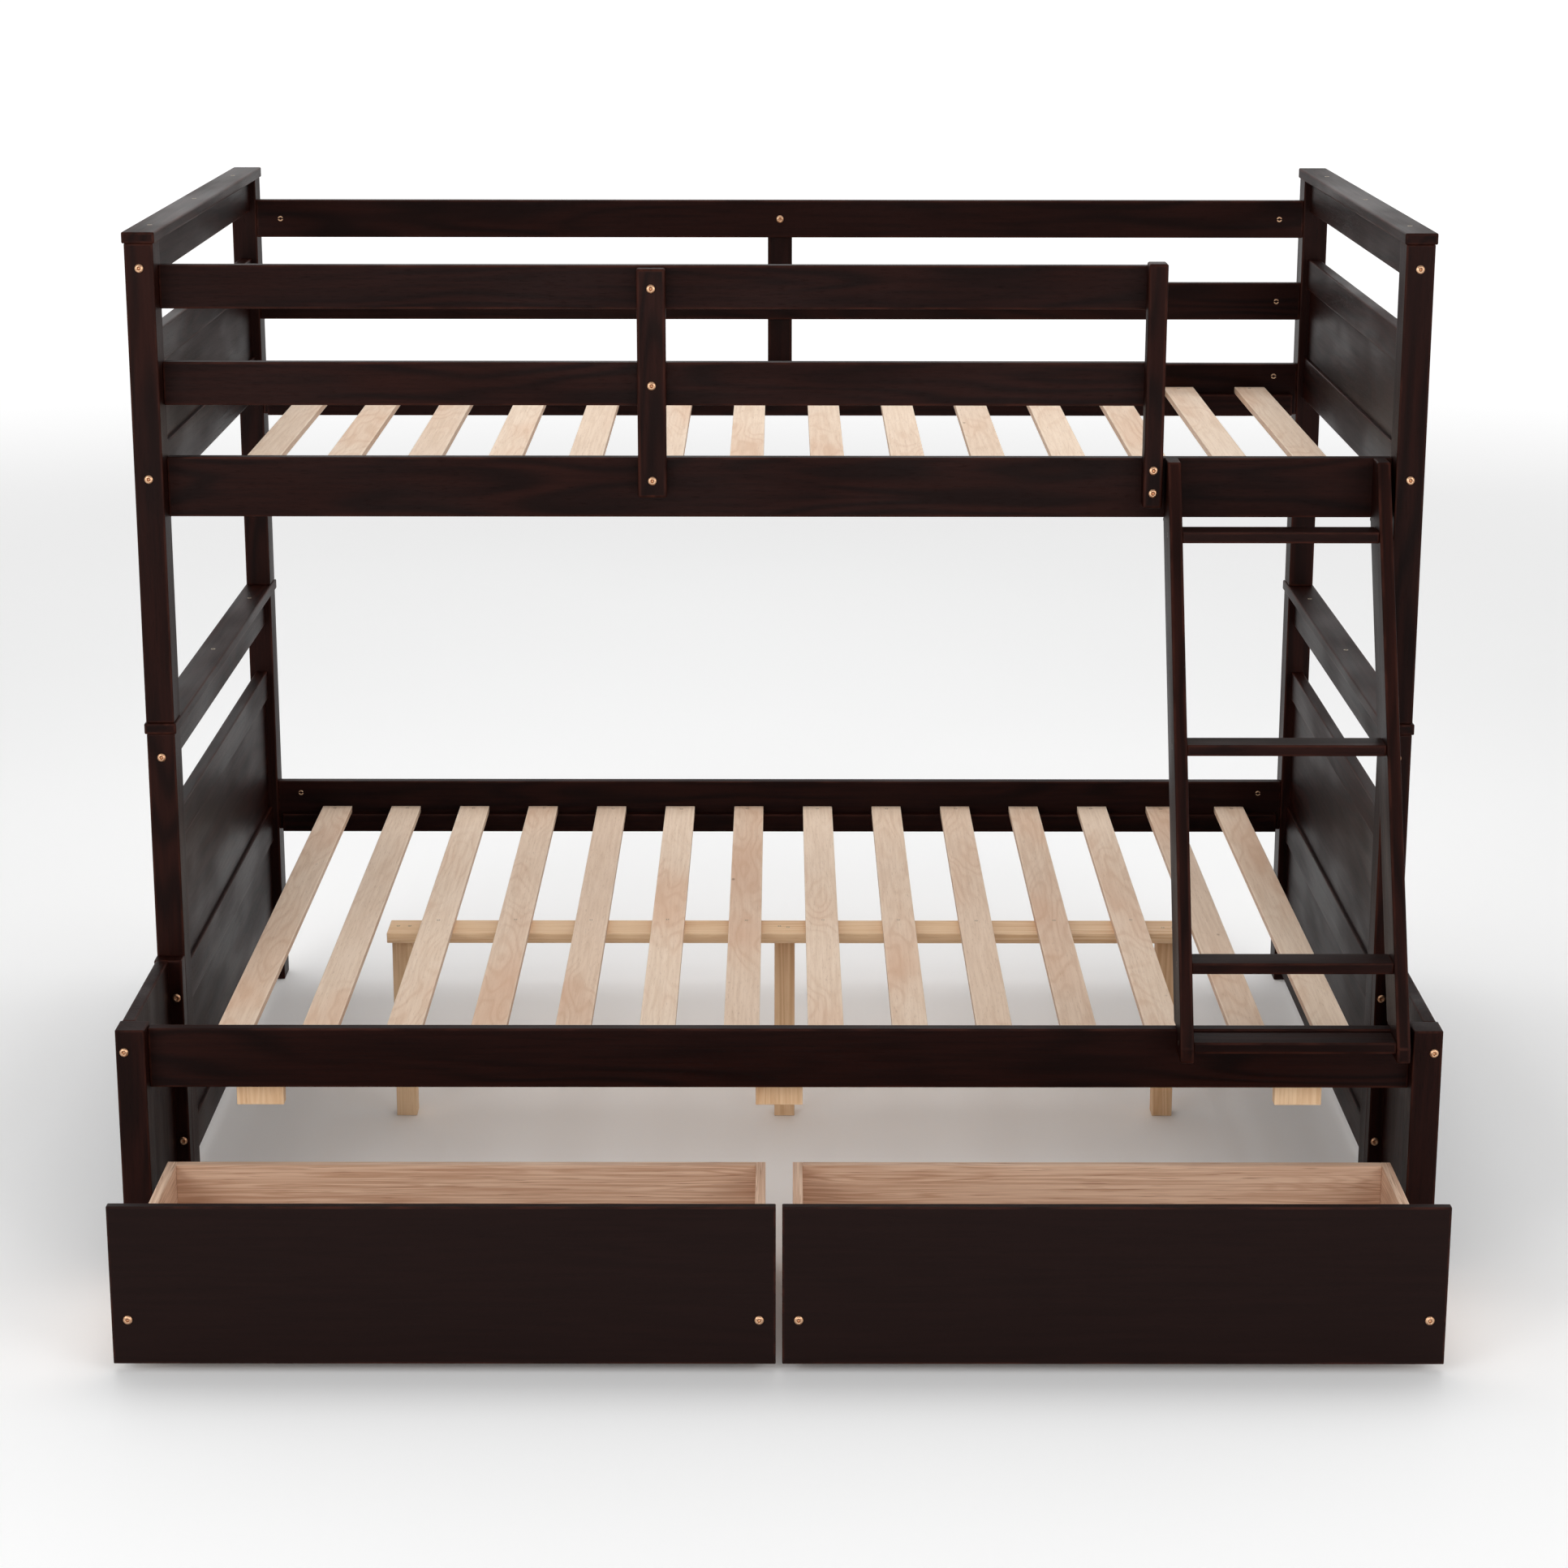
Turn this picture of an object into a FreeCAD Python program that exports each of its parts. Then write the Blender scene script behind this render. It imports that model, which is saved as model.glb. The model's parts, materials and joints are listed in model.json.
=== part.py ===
import FreeCAD, Part
import os
import re

# Bunk bed, twin over full, with a leaning ladder and two drawers on wheels.
# X runs along the bed, Y from front to back, Z up, all in millimetres.
# The origin lies on the floor under the middle of the whole bed, drawers pulled out.

os.makedirs("parts", exist_ok=True)
doc = FreeCAD.newDocument("bunk_bed")

# Driving sizes. Y sizes are measured from the front face of the main front posts.
sizes = dict(
    bed_length=2020,
    twin_width=1141,
    extension_depth=375,
    lower_post_height=766,
    upper_post_height=760,
    post_width=45,
    post_depth=58,
    cap_thickness=18,
    cap_overhang=3,
    rail_thickness=20,
    rail_height=95,
    guard_height=68,
    guard_low_bottom=1288,
    guard_pitch=151,
    upper_slat_under=1151,
    lower_slat_under=339,
    upper_rail_drop=40,
    back_rail_drop=34,
    front_rail_drop=44,
    ledger_thickness=20,
    ledger_end_gap=10,
    slat_thickness=12,
    slat_width=56,
    upper_slat_pitch=133,
    upper_slat_shift=12,
    lower_slat_pitch=132,
    lower_slat_shift=7,
    slat_end_gap=1,
    end_board_thickness=21,
    end_board_inset=12,
    panel_thickness=9,
    panel_tongue=8,
    groove_clearance=0.3,
    upper_apron_height=58,
    upper_top_rail_bottom=1345,
    upper_top_rail_height=55,
    upper_bottom_rail_bottom=1142,
    upper_bottom_rail_height=76,
    lower_apron_height=57,
    lower_top_rail_bottom=564,
    lower_top_rail_height=53,
    mid_rail_bottom=282,
    mid_rail_height=68,
    bottom_rail_bottom=17,
    bottom_rail_height=59,
    batten_width=45,
    batten_thickness=20,
    batten_bottom=1145,
    batten_height=359,
    front_batten_middle=-200,
    upright_width=30,
    upright_bottom=1132,
    upright_height=382,
    upright_right=600,
    short_post_height=396,
    short_post_depth=47,
    extension_board_thickness=20,
    extension_board_inset=3,
    cleat_thickness=30,
    cleat_bolt_side=11,
    cleat_bolt_low=87,
    cleat_bolt_high=333,
    beam_length=1362,
    beam_width=76,
    beam_thickness=18,
    beam_middle_side=340,
    beam_shift=9,
    leg_width=35,
    leg_pitch=657,
    block_width=73,
    block_thickness=23,
    block_height=87,
    block_pitch=803,
    ladder_left=607,
    ladder_width=348,
    ladder_board_thickness=20.5,
    ladder_board_depth=84,
    ladder_top_reach=42,
    ladder_heel_reach=56,
    ladder_rough_length=1200,
    ladder_rough_over=60,
    ladder_heel_height=23,
    ladder_heel_drop=34,
    rung_thickness=17.5,
    rung_depth=50,
    rung_top=1104,
    rung_pitch=304,
    low_rung_top=387,
    rung_recess=2,
    drawer_pull=365,
    drawer_front_thickness=15,
    drawer_front_height=243,
    drawer_floor_gap=13,
    drawer_gap=9,
    drawer_side_clearance=2.5,
    drawer_overhang=16.5,
    box_board=15,
    box_depth=391,
    box_height=120,
    box_bottom=48,
    tray_thickness=9,
    tray_underside=60,
    tray_tongue=5,
    wheel_radius=22,
    wheel_width=18,
    wheel_inset=60,
    cheek_gap=1,
    fork_sheet=2.5,
    fork_depth=34,
    fork_bottom=14,
    axle_radius=3,
    axle_clearance=0.05,
    bolt_radius=3,
    bolt_head_radius=7,
    bolt_head_height=3.5,
    hole_clearance=0.25,
    counterbore_depth=4,
    hole_end_gap=1,
    bolt_stop=4,
    end_bolt_bite=45,
    low_bolt_bite=40,
    apron_bolt_drop=9,
    low_apron_bolt_drop=10,
    foot_bolt_drop=3,
    cleat_bolt_stop=8,
    short_post_bolt_drop=35,
    short_post_bolt_low=70,
    upright_bolt_drop=14,
    upright_bolt_pitch=36,
    upright_screw_bite=15,
    batten_bolt_drop=34,
    cap_screw_first=107,
    cap_screw_pitch=430,
    cap_screw_bite=25,
    rung_screw_bite=35,
    ladder_bolt_height=70,
    ladder_bolt_bite=30,
    drawer_bolt_height=82,
    drawer_bolt_bite=40,
    screw_radius=2,
    screw_head_radius=4,
    screw_head_height=1,
    nut_radius=5,
    nut_inset=44,
    nut_pitch=49,
    nut_skin=4,
    nut_bolt_gap=0.5,
    cutter_reach=2,
)

# Places that follow from the sizes above.
formulas = dict(
    outer="bed_length / 2",
    inner="outer - post_width",
    back_inner="twin_width - post_depth",
    cap_low_top="lower_post_height + cap_thickness",
    upper_post_top="cap_low_top + upper_post_height",
    rail_front="post_depth - rail_thickness",
    upper_rail_bottom="upper_slat_under - upper_rail_drop",
    back_rail_bottom="lower_slat_under - back_rail_drop",
    front_rail_bottom="lower_slat_under - front_rail_drop",
    short_post_back="short_post_depth - extension_depth",
    low_rail_front="short_post_back - rail_thickness",
    end_outer="outer - end_board_inset",
    end_inner="end_outer - end_board_thickness",
    end_middle="(end_outer + end_inner) / 2",
    extension_outer="outer - extension_board_inset",
    extension_inner="extension_outer - extension_board_thickness",
    low_rail_top="front_rail_bottom + rail_height",
    upper_rail_top="upper_rail_bottom + rail_height",
    ladder_top_front="rail_front - ladder_top_reach",
    ladder_heel_front="low_rail_front - ladder_heel_reach",
    ladder_lean="atan((ladder_top_front - ladder_heel_front) / (upper_rail_top - low_rail_top))",
    rung_left="ladder_left + ladder_board_thickness",
    rung_length="ladder_width - 2 * ladder_board_thickness",
    drawer_face="-extension_depth - drawer_pull",
    drawer_back_of_front="drawer_face + drawer_front_thickness",
    drawer_width="inner - drawer_side_clearance - drawer_gap / 2",
    drawer_middle="drawer_gap / 2 + drawer_width / 2",
    box_width="drawer_width - 2 * drawer_overhang",
    box_back="drawer_back_of_front + box_depth",
    wheel_side="box_width / 2 - wheel_inset",
    wheel_front="drawer_back_of_front + wheel_inset",
    wheel_back="box_back - wheel_inset",
    origin_y="(twin_width + drawer_face) / 2",
)

sheet = doc.addObject("Spreadsheet::Sheet", "sizes")
for row, (word, value) in enumerate({**sizes, **formulas}.items(), 1):
    sheet.set(f"A{row}", word)
    sheet.set(f"B{row}", f"={value}")
    sheet.setAlias(f"B{row}", word)
doc.recompute()

functions = ("tan", "cos", "sin")
nodes = []
holes = {}


def tie(thing, prop, formula):
    """Ties one property to the named sizes."""
    link = lambda word: word[0] if word[0] in functions else "sizes." + word[0]
    thing.setExpression(prop, re.sub(r"[a-z][a-z_]*", link, str(formula)))


def place(thing, x, y, z):
    tie(thing, "Placement.Base.x", x)
    tie(thing, "Placement.Base.y", f"{y} - origin_y")
    tie(thing, "Placement.Base.z", z)


def block(x, y, z, dx, dy, dz, name="block"):
    """A box with its low corner at x, y, z."""
    box = doc.addObject("Part::Box", name)
    tie(box, "Length", dx)
    tie(box, "Width", dy)
    tie(box, "Height", dz)
    place(box, x, y, z)
    return box


turns = {
    "+x": FreeCAD.Rotation(FreeCAD.Vector(0, 1, 0), 90),
    "-x": FreeCAD.Rotation(FreeCAD.Vector(0, 1, 0), -90),
    "+y": FreeCAD.Rotation(FreeCAD.Vector(1, 0, 0), -90),
    "-y": FreeCAD.Rotation(FreeCAD.Vector(1, 0, 0), 90),
    "+z": FreeCAD.Rotation(),
    "-z": FreeCAD.Rotation(FreeCAD.Vector(1, 0, 0), 180),
}


def rod(x, y, z, way, radius, length, name="rod"):
    """A round bar that starts at x, y, z and runs the given way."""
    bar = doc.addObject("Part::Cylinder", name)
    bar.Placement.Rotation = turns[way]
    tie(bar, "Radius", radius)
    tie(bar, "Height", length)
    place(bar, x, y, z)
    return bar


def cut(base, tools, name="cut"):
    """The base with every tool taken out of it."""
    for tool in tools:
        result = doc.addObject("Part::Cut", name)
        result.Base = base
        result.Tool = tool
        base = result
    return base


def group(parts, name="group"):
    together = doc.addObject("Part::Compound", name)
    together.Links = parts
    return together


def node(name, parts):
    """Makes the finished sub-part: one piece, or a group of separate ones."""
    thing = parts[0] if len(parts) == 1 else group(parts, name)
    thing.Label = name
    nodes.append(thing)
    return thing


def drilled(base, name):
    """The board with the holes that its fasteners have asked for."""
    tools = [rod(*hole) for hole in holes.get(name, [])]
    if not tools:
        return base
    return cut(base, [group(tools)] if len(tools) > 1 else tools)


def step(x, y, z, way, distance):
    """The point that lies a distance further along the way."""
    move = f"{way[0]} ({distance})"
    return (x + move if way[1] == "x" else x,
            y + move if way[1] == "y" else y,
            z + move if way[1] == "z" else z)


def back_of(way):
    return ("-" if way[0] == "+" else "+") + way[1]


def fastener(x, y, z, way, length, boards, kind="bolt"):
    """A headed bolt or screw whose head sits at x, y, z, with a hole in each board."""
    shank = rod(x, y, z, way, f"{kind}_radius", length)
    head = rod(x, y, z, back_of(way), f"{kind}_head_radius", f"{kind}_head_height")
    for name in boards:
        hole = (x, y, z, way, f"{kind}_radius + hole_clearance", f"{length} + hole_end_gap")
        holes.setdefault(name, []).append(hole)
    whole = doc.addObject("Part::Fuse", kind)
    whole.Base = shank
    whole.Tool = head
    return whole


sides = {"left": "-", "right": "+"}
bolts = []
screws = []


def across(side, low, width):
    """Low X of a board that spans low to low + width on the given side."""
    return f"{low}" if side == "right" else f"-({low}) - ({width})"


def inward(side):
    return "-x" if side == "right" else "+x"


# Bolts come first, so that every board knows its holes.
post_ends = {"front": ("0", "+y"), "back": ("twin_width", "-y")}
for side, sign in sides.items():
    for end, (face, way) in post_ends.items():
        x = f"{sign}(end_middle)"
        upper = f"post_upper_{end}_{side}"
        lower = f"post_lower_{end}_{side}"
        rails = f"end_rails_upper_{side}"
        low_rails = f"end_rails_lower_{side}"
        apron_z = "upper_post_top - upper_apron_height / 2 - apron_bolt_drop"
        low_apron_z = "lower_post_height - lower_apron_height / 2 - low_apron_bolt_drop"
        foot_z = "upper_bottom_rail_bottom + upper_bottom_rail_height / 2 - foot_bolt_drop"
        bolts.append(fastener(x, face, apron_z, way, "post_depth + end_bolt_bite", [upper, rails]))
        bolts.append(fastener(x, face, foot_z, way, "post_depth + end_bolt_bite", [upper, rails]))
        bolts.append(fastener(x, face, low_apron_z, way, "post_depth + end_bolt_bite", [lower, low_rails]))
    for z in ("mid_rail_bottom + mid_rail_height / 2", "bottom_rail_bottom + bottom_rail_height / 2"):
        # the front heads lie in counterbores, because the cleat covers them
        bolts.append(fastener(x, "counterbore_depth", z, "+y", "post_depth + low_bolt_bite",
                              [f"post_lower_front_{side}", low_rails]))
        holes[f"post_lower_front_{side}"].append((x, "0", z, "+y", "bolt_head_radius + hole_clearance",
                                                  "counterbore_depth"))
        bolts.append(fastener(x, "twin_width", z, "-y", "post_depth + end_bolt_bite",
                              [f"post_lower_back_{side}", low_rails]))
    for z in ("cleat_bolt_high", "cleat_bolt_low"):
        bolts.append(fastener(f"{sign}(inner + cleat_bolt_side)", "-cleat_thickness", z, "+y",
                              "cleat_thickness + post_depth - cleat_bolt_stop",
                              ["extension_cleats", f"post_lower_front_{side}"]))
    for z in ("short_post_height - short_post_bolt_drop", "short_post_bolt_low"):
        bolts.append(fastener(f"{sign}(extension_outer - extension_board_thickness / 2)",
                              "-extension_depth", z, "+y", "short_post_depth + end_bolt_bite",
                              [f"short_post_{side}", f"extension_board_{side}"]))

# Side rails and guard rails: a bolt from outside through the post into a cross nut in the rail.
low_guard = "guard_low_bottom + guard_height / 2"
high_guard = "guard_low_bottom + guard_pitch + guard_height / 2"


def rail_pair(bottom):
    return [f"{bottom} + (rail_height {sign} nut_pitch) / 2" for sign in "-+"]


rail_joints = [("front", "post_depth - rail_thickness / 2", "+y", "side_rail_upper_front", "upper",
                rail_pair("upper_rail_bottom")),
               ("back", "back_inner + rail_thickness / 2", "-y", "side_rail_upper_back", "upper",
                rail_pair("upper_rail_bottom")),
               ("front", "post_depth - rail_thickness / 2", "+y", "guard_rails_front", "upper",
                [low_guard, high_guard]),
               ("back", "back_inner + rail_thickness / 2", "-y", "guard_rails_back", "upper",
                [low_guard, high_guard]),
               ("back", "back_inner + rail_thickness / 2", "-y", "side_rail_lower_back", "lower",
                rail_pair("back_rail_bottom")),
               ("short", "short_post_back - rail_thickness / 2", "+y", "side_rail_lower_front", "short",
                rail_pair("front_rail_bottom"))]
for end, y, outward, rail, level, heights in rail_joints:
    for side, sign in sides.items():
        post = f"short_post_{side}" if level == "short" else f"post_{level}_{end}_{side}"
        if rail == "guard_rails_front" and side == "right":
            continue
        for z in heights:
            bolts.append(fastener(f"{sign}(outer)", y, z, inward(side),
                                  "post_width + nut_inset - nut_radius - nut_bolt_gap", [post, rail]))
            nut_y = f"{y} + rail_thickness / 2" if outward == "+y" else f"{y} - rail_thickness / 2"
            nut = (f"{sign}(inner - nut_inset)", nut_y, z, back_of(outward))
            screws.append(rod(*nut, "nut_radius - hole_clearance", "rail_thickness - nut_skin"))
            holes.setdefault(rail, []).append((*nut, "nut_radius", "rail_thickness - nut_skin"))

# Upright at the ladder gap and the two battens that tie the guard rails together.
upright_middle = "upright_right - upright_width / 2"
for z in ("upper_rail_top - upright_bolt_drop", "upper_rail_top - upright_bolt_drop - upright_bolt_pitch"):
    bolts.append(fastener(upright_middle, "0", z, "+y", "post_depth - bolt_stop",
                          ["guard_end_upright", "side_rail_upper_front"]))
for z in (low_guard, high_guard):
    screws.append(fastener(upright_middle, "post_depth", z, "-y",
                           "rail_thickness + upright_screw_bite",
                           ["guard_rails_front", "guard_end_upright"], "screw"))
batten_rows = {"guard_rails": (low_guard, high_guard),
               "side_rail_upper": ("upper_rail_top - batten_bolt_drop",)}
for rail, heights in batten_rows.items():
    for z in heights:
        bolts.append(fastener("front_batten_middle", "rail_front - batten_thickness", z, "+y",
                              "batten_thickness + rail_thickness - bolt_stop",
                              ["guard_batten_front", f"{rail}_front"]))
        bolts.append(fastener("0", "back_inner", z, "+y",
                              "batten_thickness + rail_thickness - bolt_stop",
                              [f"{rail}_back", "guard_batten_back"]))

# Screws down through the cap boards into the aprons.
for side, sign in sides.items():
    for level, top in (("upper", "upper_post_top + cap_thickness"), ("lower", "cap_low_top")):
        for place_number in range(3):
            screw_y = f"cap_screw_first + {place_number} * cap_screw_pitch"
            screws.append(fastener(f"{sign}(end_middle)", screw_y,
                                   f"{top} - screw_head_height", "-z", "cap_thickness + cap_screw_bite",
                                   [f"cap_{level}_{side}", f"end_rails_{level}_{side}"], "screw"))
            holes[f"cap_{level}_{side}"].append((f"{sign}(end_middle)", screw_y,
                                                 f"{top}", "-z", "screw_head_radius", "screw_head_height"))

# Ladder: screws through the sides into the rungs and from the rail into the ladder tops.
rung_tops = [f"rung_top - {number} * rung_pitch" for number in range(3)] + ["low_rung_top"]


def ladder_front(z):
    return f"ladder_top_front - (upper_rail_top - ({z})) * tan(ladder_lean)"


for top in rung_tops:
    y = f"{ladder_front(top)} + rung_recess + rung_depth / 2"
    z = f"{top} - rung_thickness / 2"
    rung_screw = "ladder_board_thickness + rung_screw_bite"
    screws.append(fastener("ladder_left", y, z, "+x", rung_screw,
                           ["ladder_side_left", "ladder_rungs"], "screw"))
    screws.append(fastener("ladder_left + ladder_width", y, z, "-x", rung_screw,
                           ["ladder_side_right", "ladder_rungs"], "screw"))
for side in sides:
    x = "ladder_left + ladder_board_thickness / 2"
    x = x if side == "left" else f"{x} + ladder_width - ladder_board_thickness"
    bolts.append(fastener(x, "post_depth", "upper_rail_bottom + ladder_bolt_height", "-y",
                          "rail_thickness + ladder_bolt_bite",
                          ["side_rail_upper_front", f"ladder_side_{side}"]))

# Posts, in two storeys, with the cap boards that lie on them.
for side in sides:
    x = across(side, "inner", "post_width")
    for end, y in (("front", "0"), ("back", "back_inner")):
        name = f"post_lower_{end}_{side}"
        node(name, [drilled(block(x, y, "0", "post_width", "post_depth", "lower_post_height"), name)])
        name = f"post_upper_{end}_{side}"
        post = block(x, y, "cap_low_top", "post_width", "post_depth", "upper_post_height")
        node(name, [drilled(post, name)])
    for level, z in (("lower", "lower_post_height"), ("upper", "upper_post_top")):
        name = f"cap_{level}_{side}"
        cap = block(across(side, "inner - cap_overhang", "post_width + 2 * cap_overhang"),
                    "-cap_overhang", z, "post_width + 2 * cap_overhang",
                    "twin_width + 2 * cap_overhang", "cap_thickness")
        node(name, [drilled(cap, name)])


def end_rail(side, z, height):
    return block(across(side, "end_inner", "end_board_thickness"), "post_depth", z,
                 "end_board_thickness", "back_inner - post_depth", height)


def end_panel(side, low, high, extra="0"):
    """A panel whose edges stand in the grooves of the rails below and above it."""
    thick = f"(panel_thickness + {extra})"
    return block(across(side, f"end_middle - {thick} / 2", thick), "post_depth",
                 f"{low} - panel_tongue", thick, "back_inner - post_depth",
                 f"{high} - ({low}) + 2 * panel_tongue")


# End frames: rails and recessed panels between the posts.
for side in sides:
    upper_low = "upper_bottom_rail_bottom + upper_bottom_rail_height"
    mid_top = "mid_rail_bottom + mid_rail_height"
    low_top = "bottom_rail_bottom + bottom_rail_height"
    frames = {
        "upper": ([("upper_post_top - upper_apron_height", "upper_apron_height"),
                   ("upper_top_rail_bottom", "upper_top_rail_height"),
                   ("upper_bottom_rail_bottom", "upper_bottom_rail_height")],
                  [(upper_low, "upper_top_rail_bottom")]),
        "lower": ([("lower_post_height - lower_apron_height", "lower_apron_height"),
                   ("lower_top_rail_bottom", "lower_top_rail_height"),
                   ("mid_rail_bottom", "mid_rail_height"),
                   ("bottom_rail_bottom", "bottom_rail_height")],
                  [(mid_top, "lower_top_rail_bottom"), (low_top, "mid_rail_bottom")]),
    }
    for level, (rails, panels) in frames.items():
        name = f"end_rails_{level}_{side}"
        grooves = [end_panel(side, low, high, "groove_clearance") for low, high in panels]
        boards = group([end_rail(side, z, height) for z, height in rails])
        node(name, [drilled(cut(boards, grooves), name)])
        name = f"end_panel_{level}_{side}"
        node(name, [end_panel(side, low, high) for low, high in panels])


def long_rail(name, y, heights, height, right="inner"):
    rails = [block("-inner", y, z, f"inner + {right}", "rail_thickness", height) for z in heights]
    node(name, [drilled(rails[0] if len(rails) == 1 else group(rails), name)])


guard_heights = ["guard_low_bottom", "guard_low_bottom + guard_pitch"]
long_rail("side_rail_upper_front", "rail_front", ["upper_rail_bottom"], "rail_height")
long_rail("side_rail_upper_back", "back_inner", ["upper_rail_bottom"], "rail_height")
long_rail("side_rail_lower_back", "back_inner", ["back_rail_bottom"], "rail_height")
long_rail("side_rail_lower_front", "low_rail_front", ["front_rail_bottom"], "rail_height")
long_rail("guard_rails_front", "rail_front", guard_heights, "guard_height", "upright_right")
long_rail("guard_rails_back", "back_inner", guard_heights, "guard_height")

upright = block("upright_right - upright_width", "0", "upright_bottom", "upright_width", "rail_front",
                "upright_height")
node("guard_end_upright", [drilled(upright, "guard_end_upright")])
for end, x, y in (("front", "front_batten_middle", "rail_front - batten_thickness"),
                  ("back", "0", "back_inner + rail_thickness")):
    name = f"guard_batten_{end}"
    batten = block(f"{x} - batten_width / 2", y, "batten_bottom", "batten_width", "batten_thickness",
                   "batten_height")
    node(name, [drilled(batten, name)])


def ledger(y, bottom, top):
    return block("ledger_end_gap - inner", y, bottom, "2 * inner - 2 * ledger_end_gap",
                 "ledger_thickness", f"{top} - ({bottom})")


back_ledger_y = "back_inner - ledger_thickness"
node("slat_ledgers_upper", [ledger("post_depth", "upper_rail_bottom", "upper_slat_under"),
                            ledger(back_ledger_y, "upper_rail_bottom", "upper_slat_under")])
node("slat_ledgers_lower", [ledger("short_post_back", "front_rail_bottom", "lower_slat_under"),
                            ledger(back_ledger_y, "back_rail_bottom", "lower_slat_under")])

slat_count = 14


def slats(level, front):
    """A row of slats at an even pitch, its middle a little off the middle of the bed."""
    row = []
    for number in range(slat_count):
        offset = number - (slat_count - 1) / 2
        middle = f"{level}_slat_shift + {offset} * {level}_slat_pitch"
        row.append(block(f"{middle} - slat_width / 2", f"{front} + slat_end_gap",
                         f"{level}_slat_under", "slat_width",
                         f"back_inner - ({front}) - 2 * slat_end_gap", "slat_thickness"))
    node(f"slats_{level}", row)


slats("upper", "post_depth")
slats("lower", "short_post_back")

# The extension that widens the lower bed: short posts, side boards and the cleats behind them.
for side in sides:
    name = f"short_post_{side}"
    post = block(across(side, "inner", "post_width"), "-extension_depth", "0", "post_width",
                 "short_post_depth", "short_post_height")
    node(name, [drilled(post, name)])
    name = f"extension_board_{side}"
    board = block(across(side, "extension_inner", "extension_board_thickness"), "short_post_back",
                  "bottom_rail_bottom", "extension_board_thickness",
                  "-cleat_thickness - (short_post_back)", "short_post_height - bottom_rail_bottom")
    node(name, [drilled(board, name)])
cleats = [block(across(side, "inner", "post_width"), "-cleat_thickness", "0", "post_width",
                "cleat_thickness", "short_post_height") for side in sides]
node("extension_cleats", [drilled(group(cleats), "extension_cleats")])

# Support under the middle of the lower slats, and the blocks that stop the drawer fronts.
node("centre_beam", [block("beam_shift - beam_length / 2", "beam_middle_side - beam_width / 2",
                           "lower_slat_under - beam_thickness", "beam_length", "beam_width",
                           "beam_thickness")])
node("centre_legs", [block(f"beam_shift + {number} * leg_pitch - leg_width / 2",
                           "beam_middle_side - leg_width / 2", "0", "leg_width", "leg_width",
                           "lower_slat_under - beam_thickness") for number in (-1, 0, 1)])
node("drawer_stop_blocks", [block(f"{number} * block_pitch - block_width / 2",
                                  "short_post_back + ledger_thickness",
                                  "lower_slat_under - block_height", "block_width", "block_thickness",
                                  "block_height") for number in (-1, 0, 1)])


def ladder_side(name, x):
    """A leaning board, cut level at the top, plumb on both rails and level at the heel."""
    board = doc.addObject("Part::Box", "ladder_board")
    tie(board, "Length", "ladder_board_thickness")
    tie(board, "Width", "ladder_board_depth")
    tie(board, "Height", "ladder_rough_length")
    board.Placement.Rotation = FreeCAD.Rotation(FreeCAD.Vector(1, 0, 0), -25)
    tie(board, "Placement.Rotation.Angle", "-ladder_lean")
    # the rough board runs past both ends, so that every end is made by a cut
    start_drop = "(upper_rail_top + ladder_rough_over - ladder_rough_length * cos(ladder_lean))"
    place(board, x, ladder_front(start_drop), start_drop)
    low_x = f"{x} - cutter_reach"
    wide = "ladder_board_thickness + 2 * cutter_reach"
    far = "twin_width"
    front = f"-{far}"
    heel = "low_rail_top - ladder_heel_drop"
    under = f"{heel} - {far}"
    heel_face = ladder_front(f"{heel} + ladder_heel_height")
    tools = [block(low_x, front, "upper_rail_top", wide, f"2 * {far}", far),
             block(low_x, "rail_front", "upper_rail_bottom", wide, far, far),
             block(low_x, "low_rail_front", under, wide, far, f"ladder_heel_drop + {far}"),
             block(low_x, front, under, wide, f"2 * {far}", far),
             block(low_x, front, under, wide, f"{far} + {heel_face}", f"{far} + 2 * ladder_heel_height")]
    node(name, [drilled(cut(board, tools), name)])


ladder_side("ladder_side_left", "ladder_left")
ladder_side("ladder_side_right", "ladder_left + ladder_width - ladder_board_thickness")
rungs = [block("rung_left", f"{ladder_front(top)} + rung_recess", f"{top} - rung_thickness",
               "rung_length", "rung_depth", "rung_thickness") for top in rung_tops]
node("ladder_rungs", [drilled(group(rungs), "ladder_rungs")])


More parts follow.
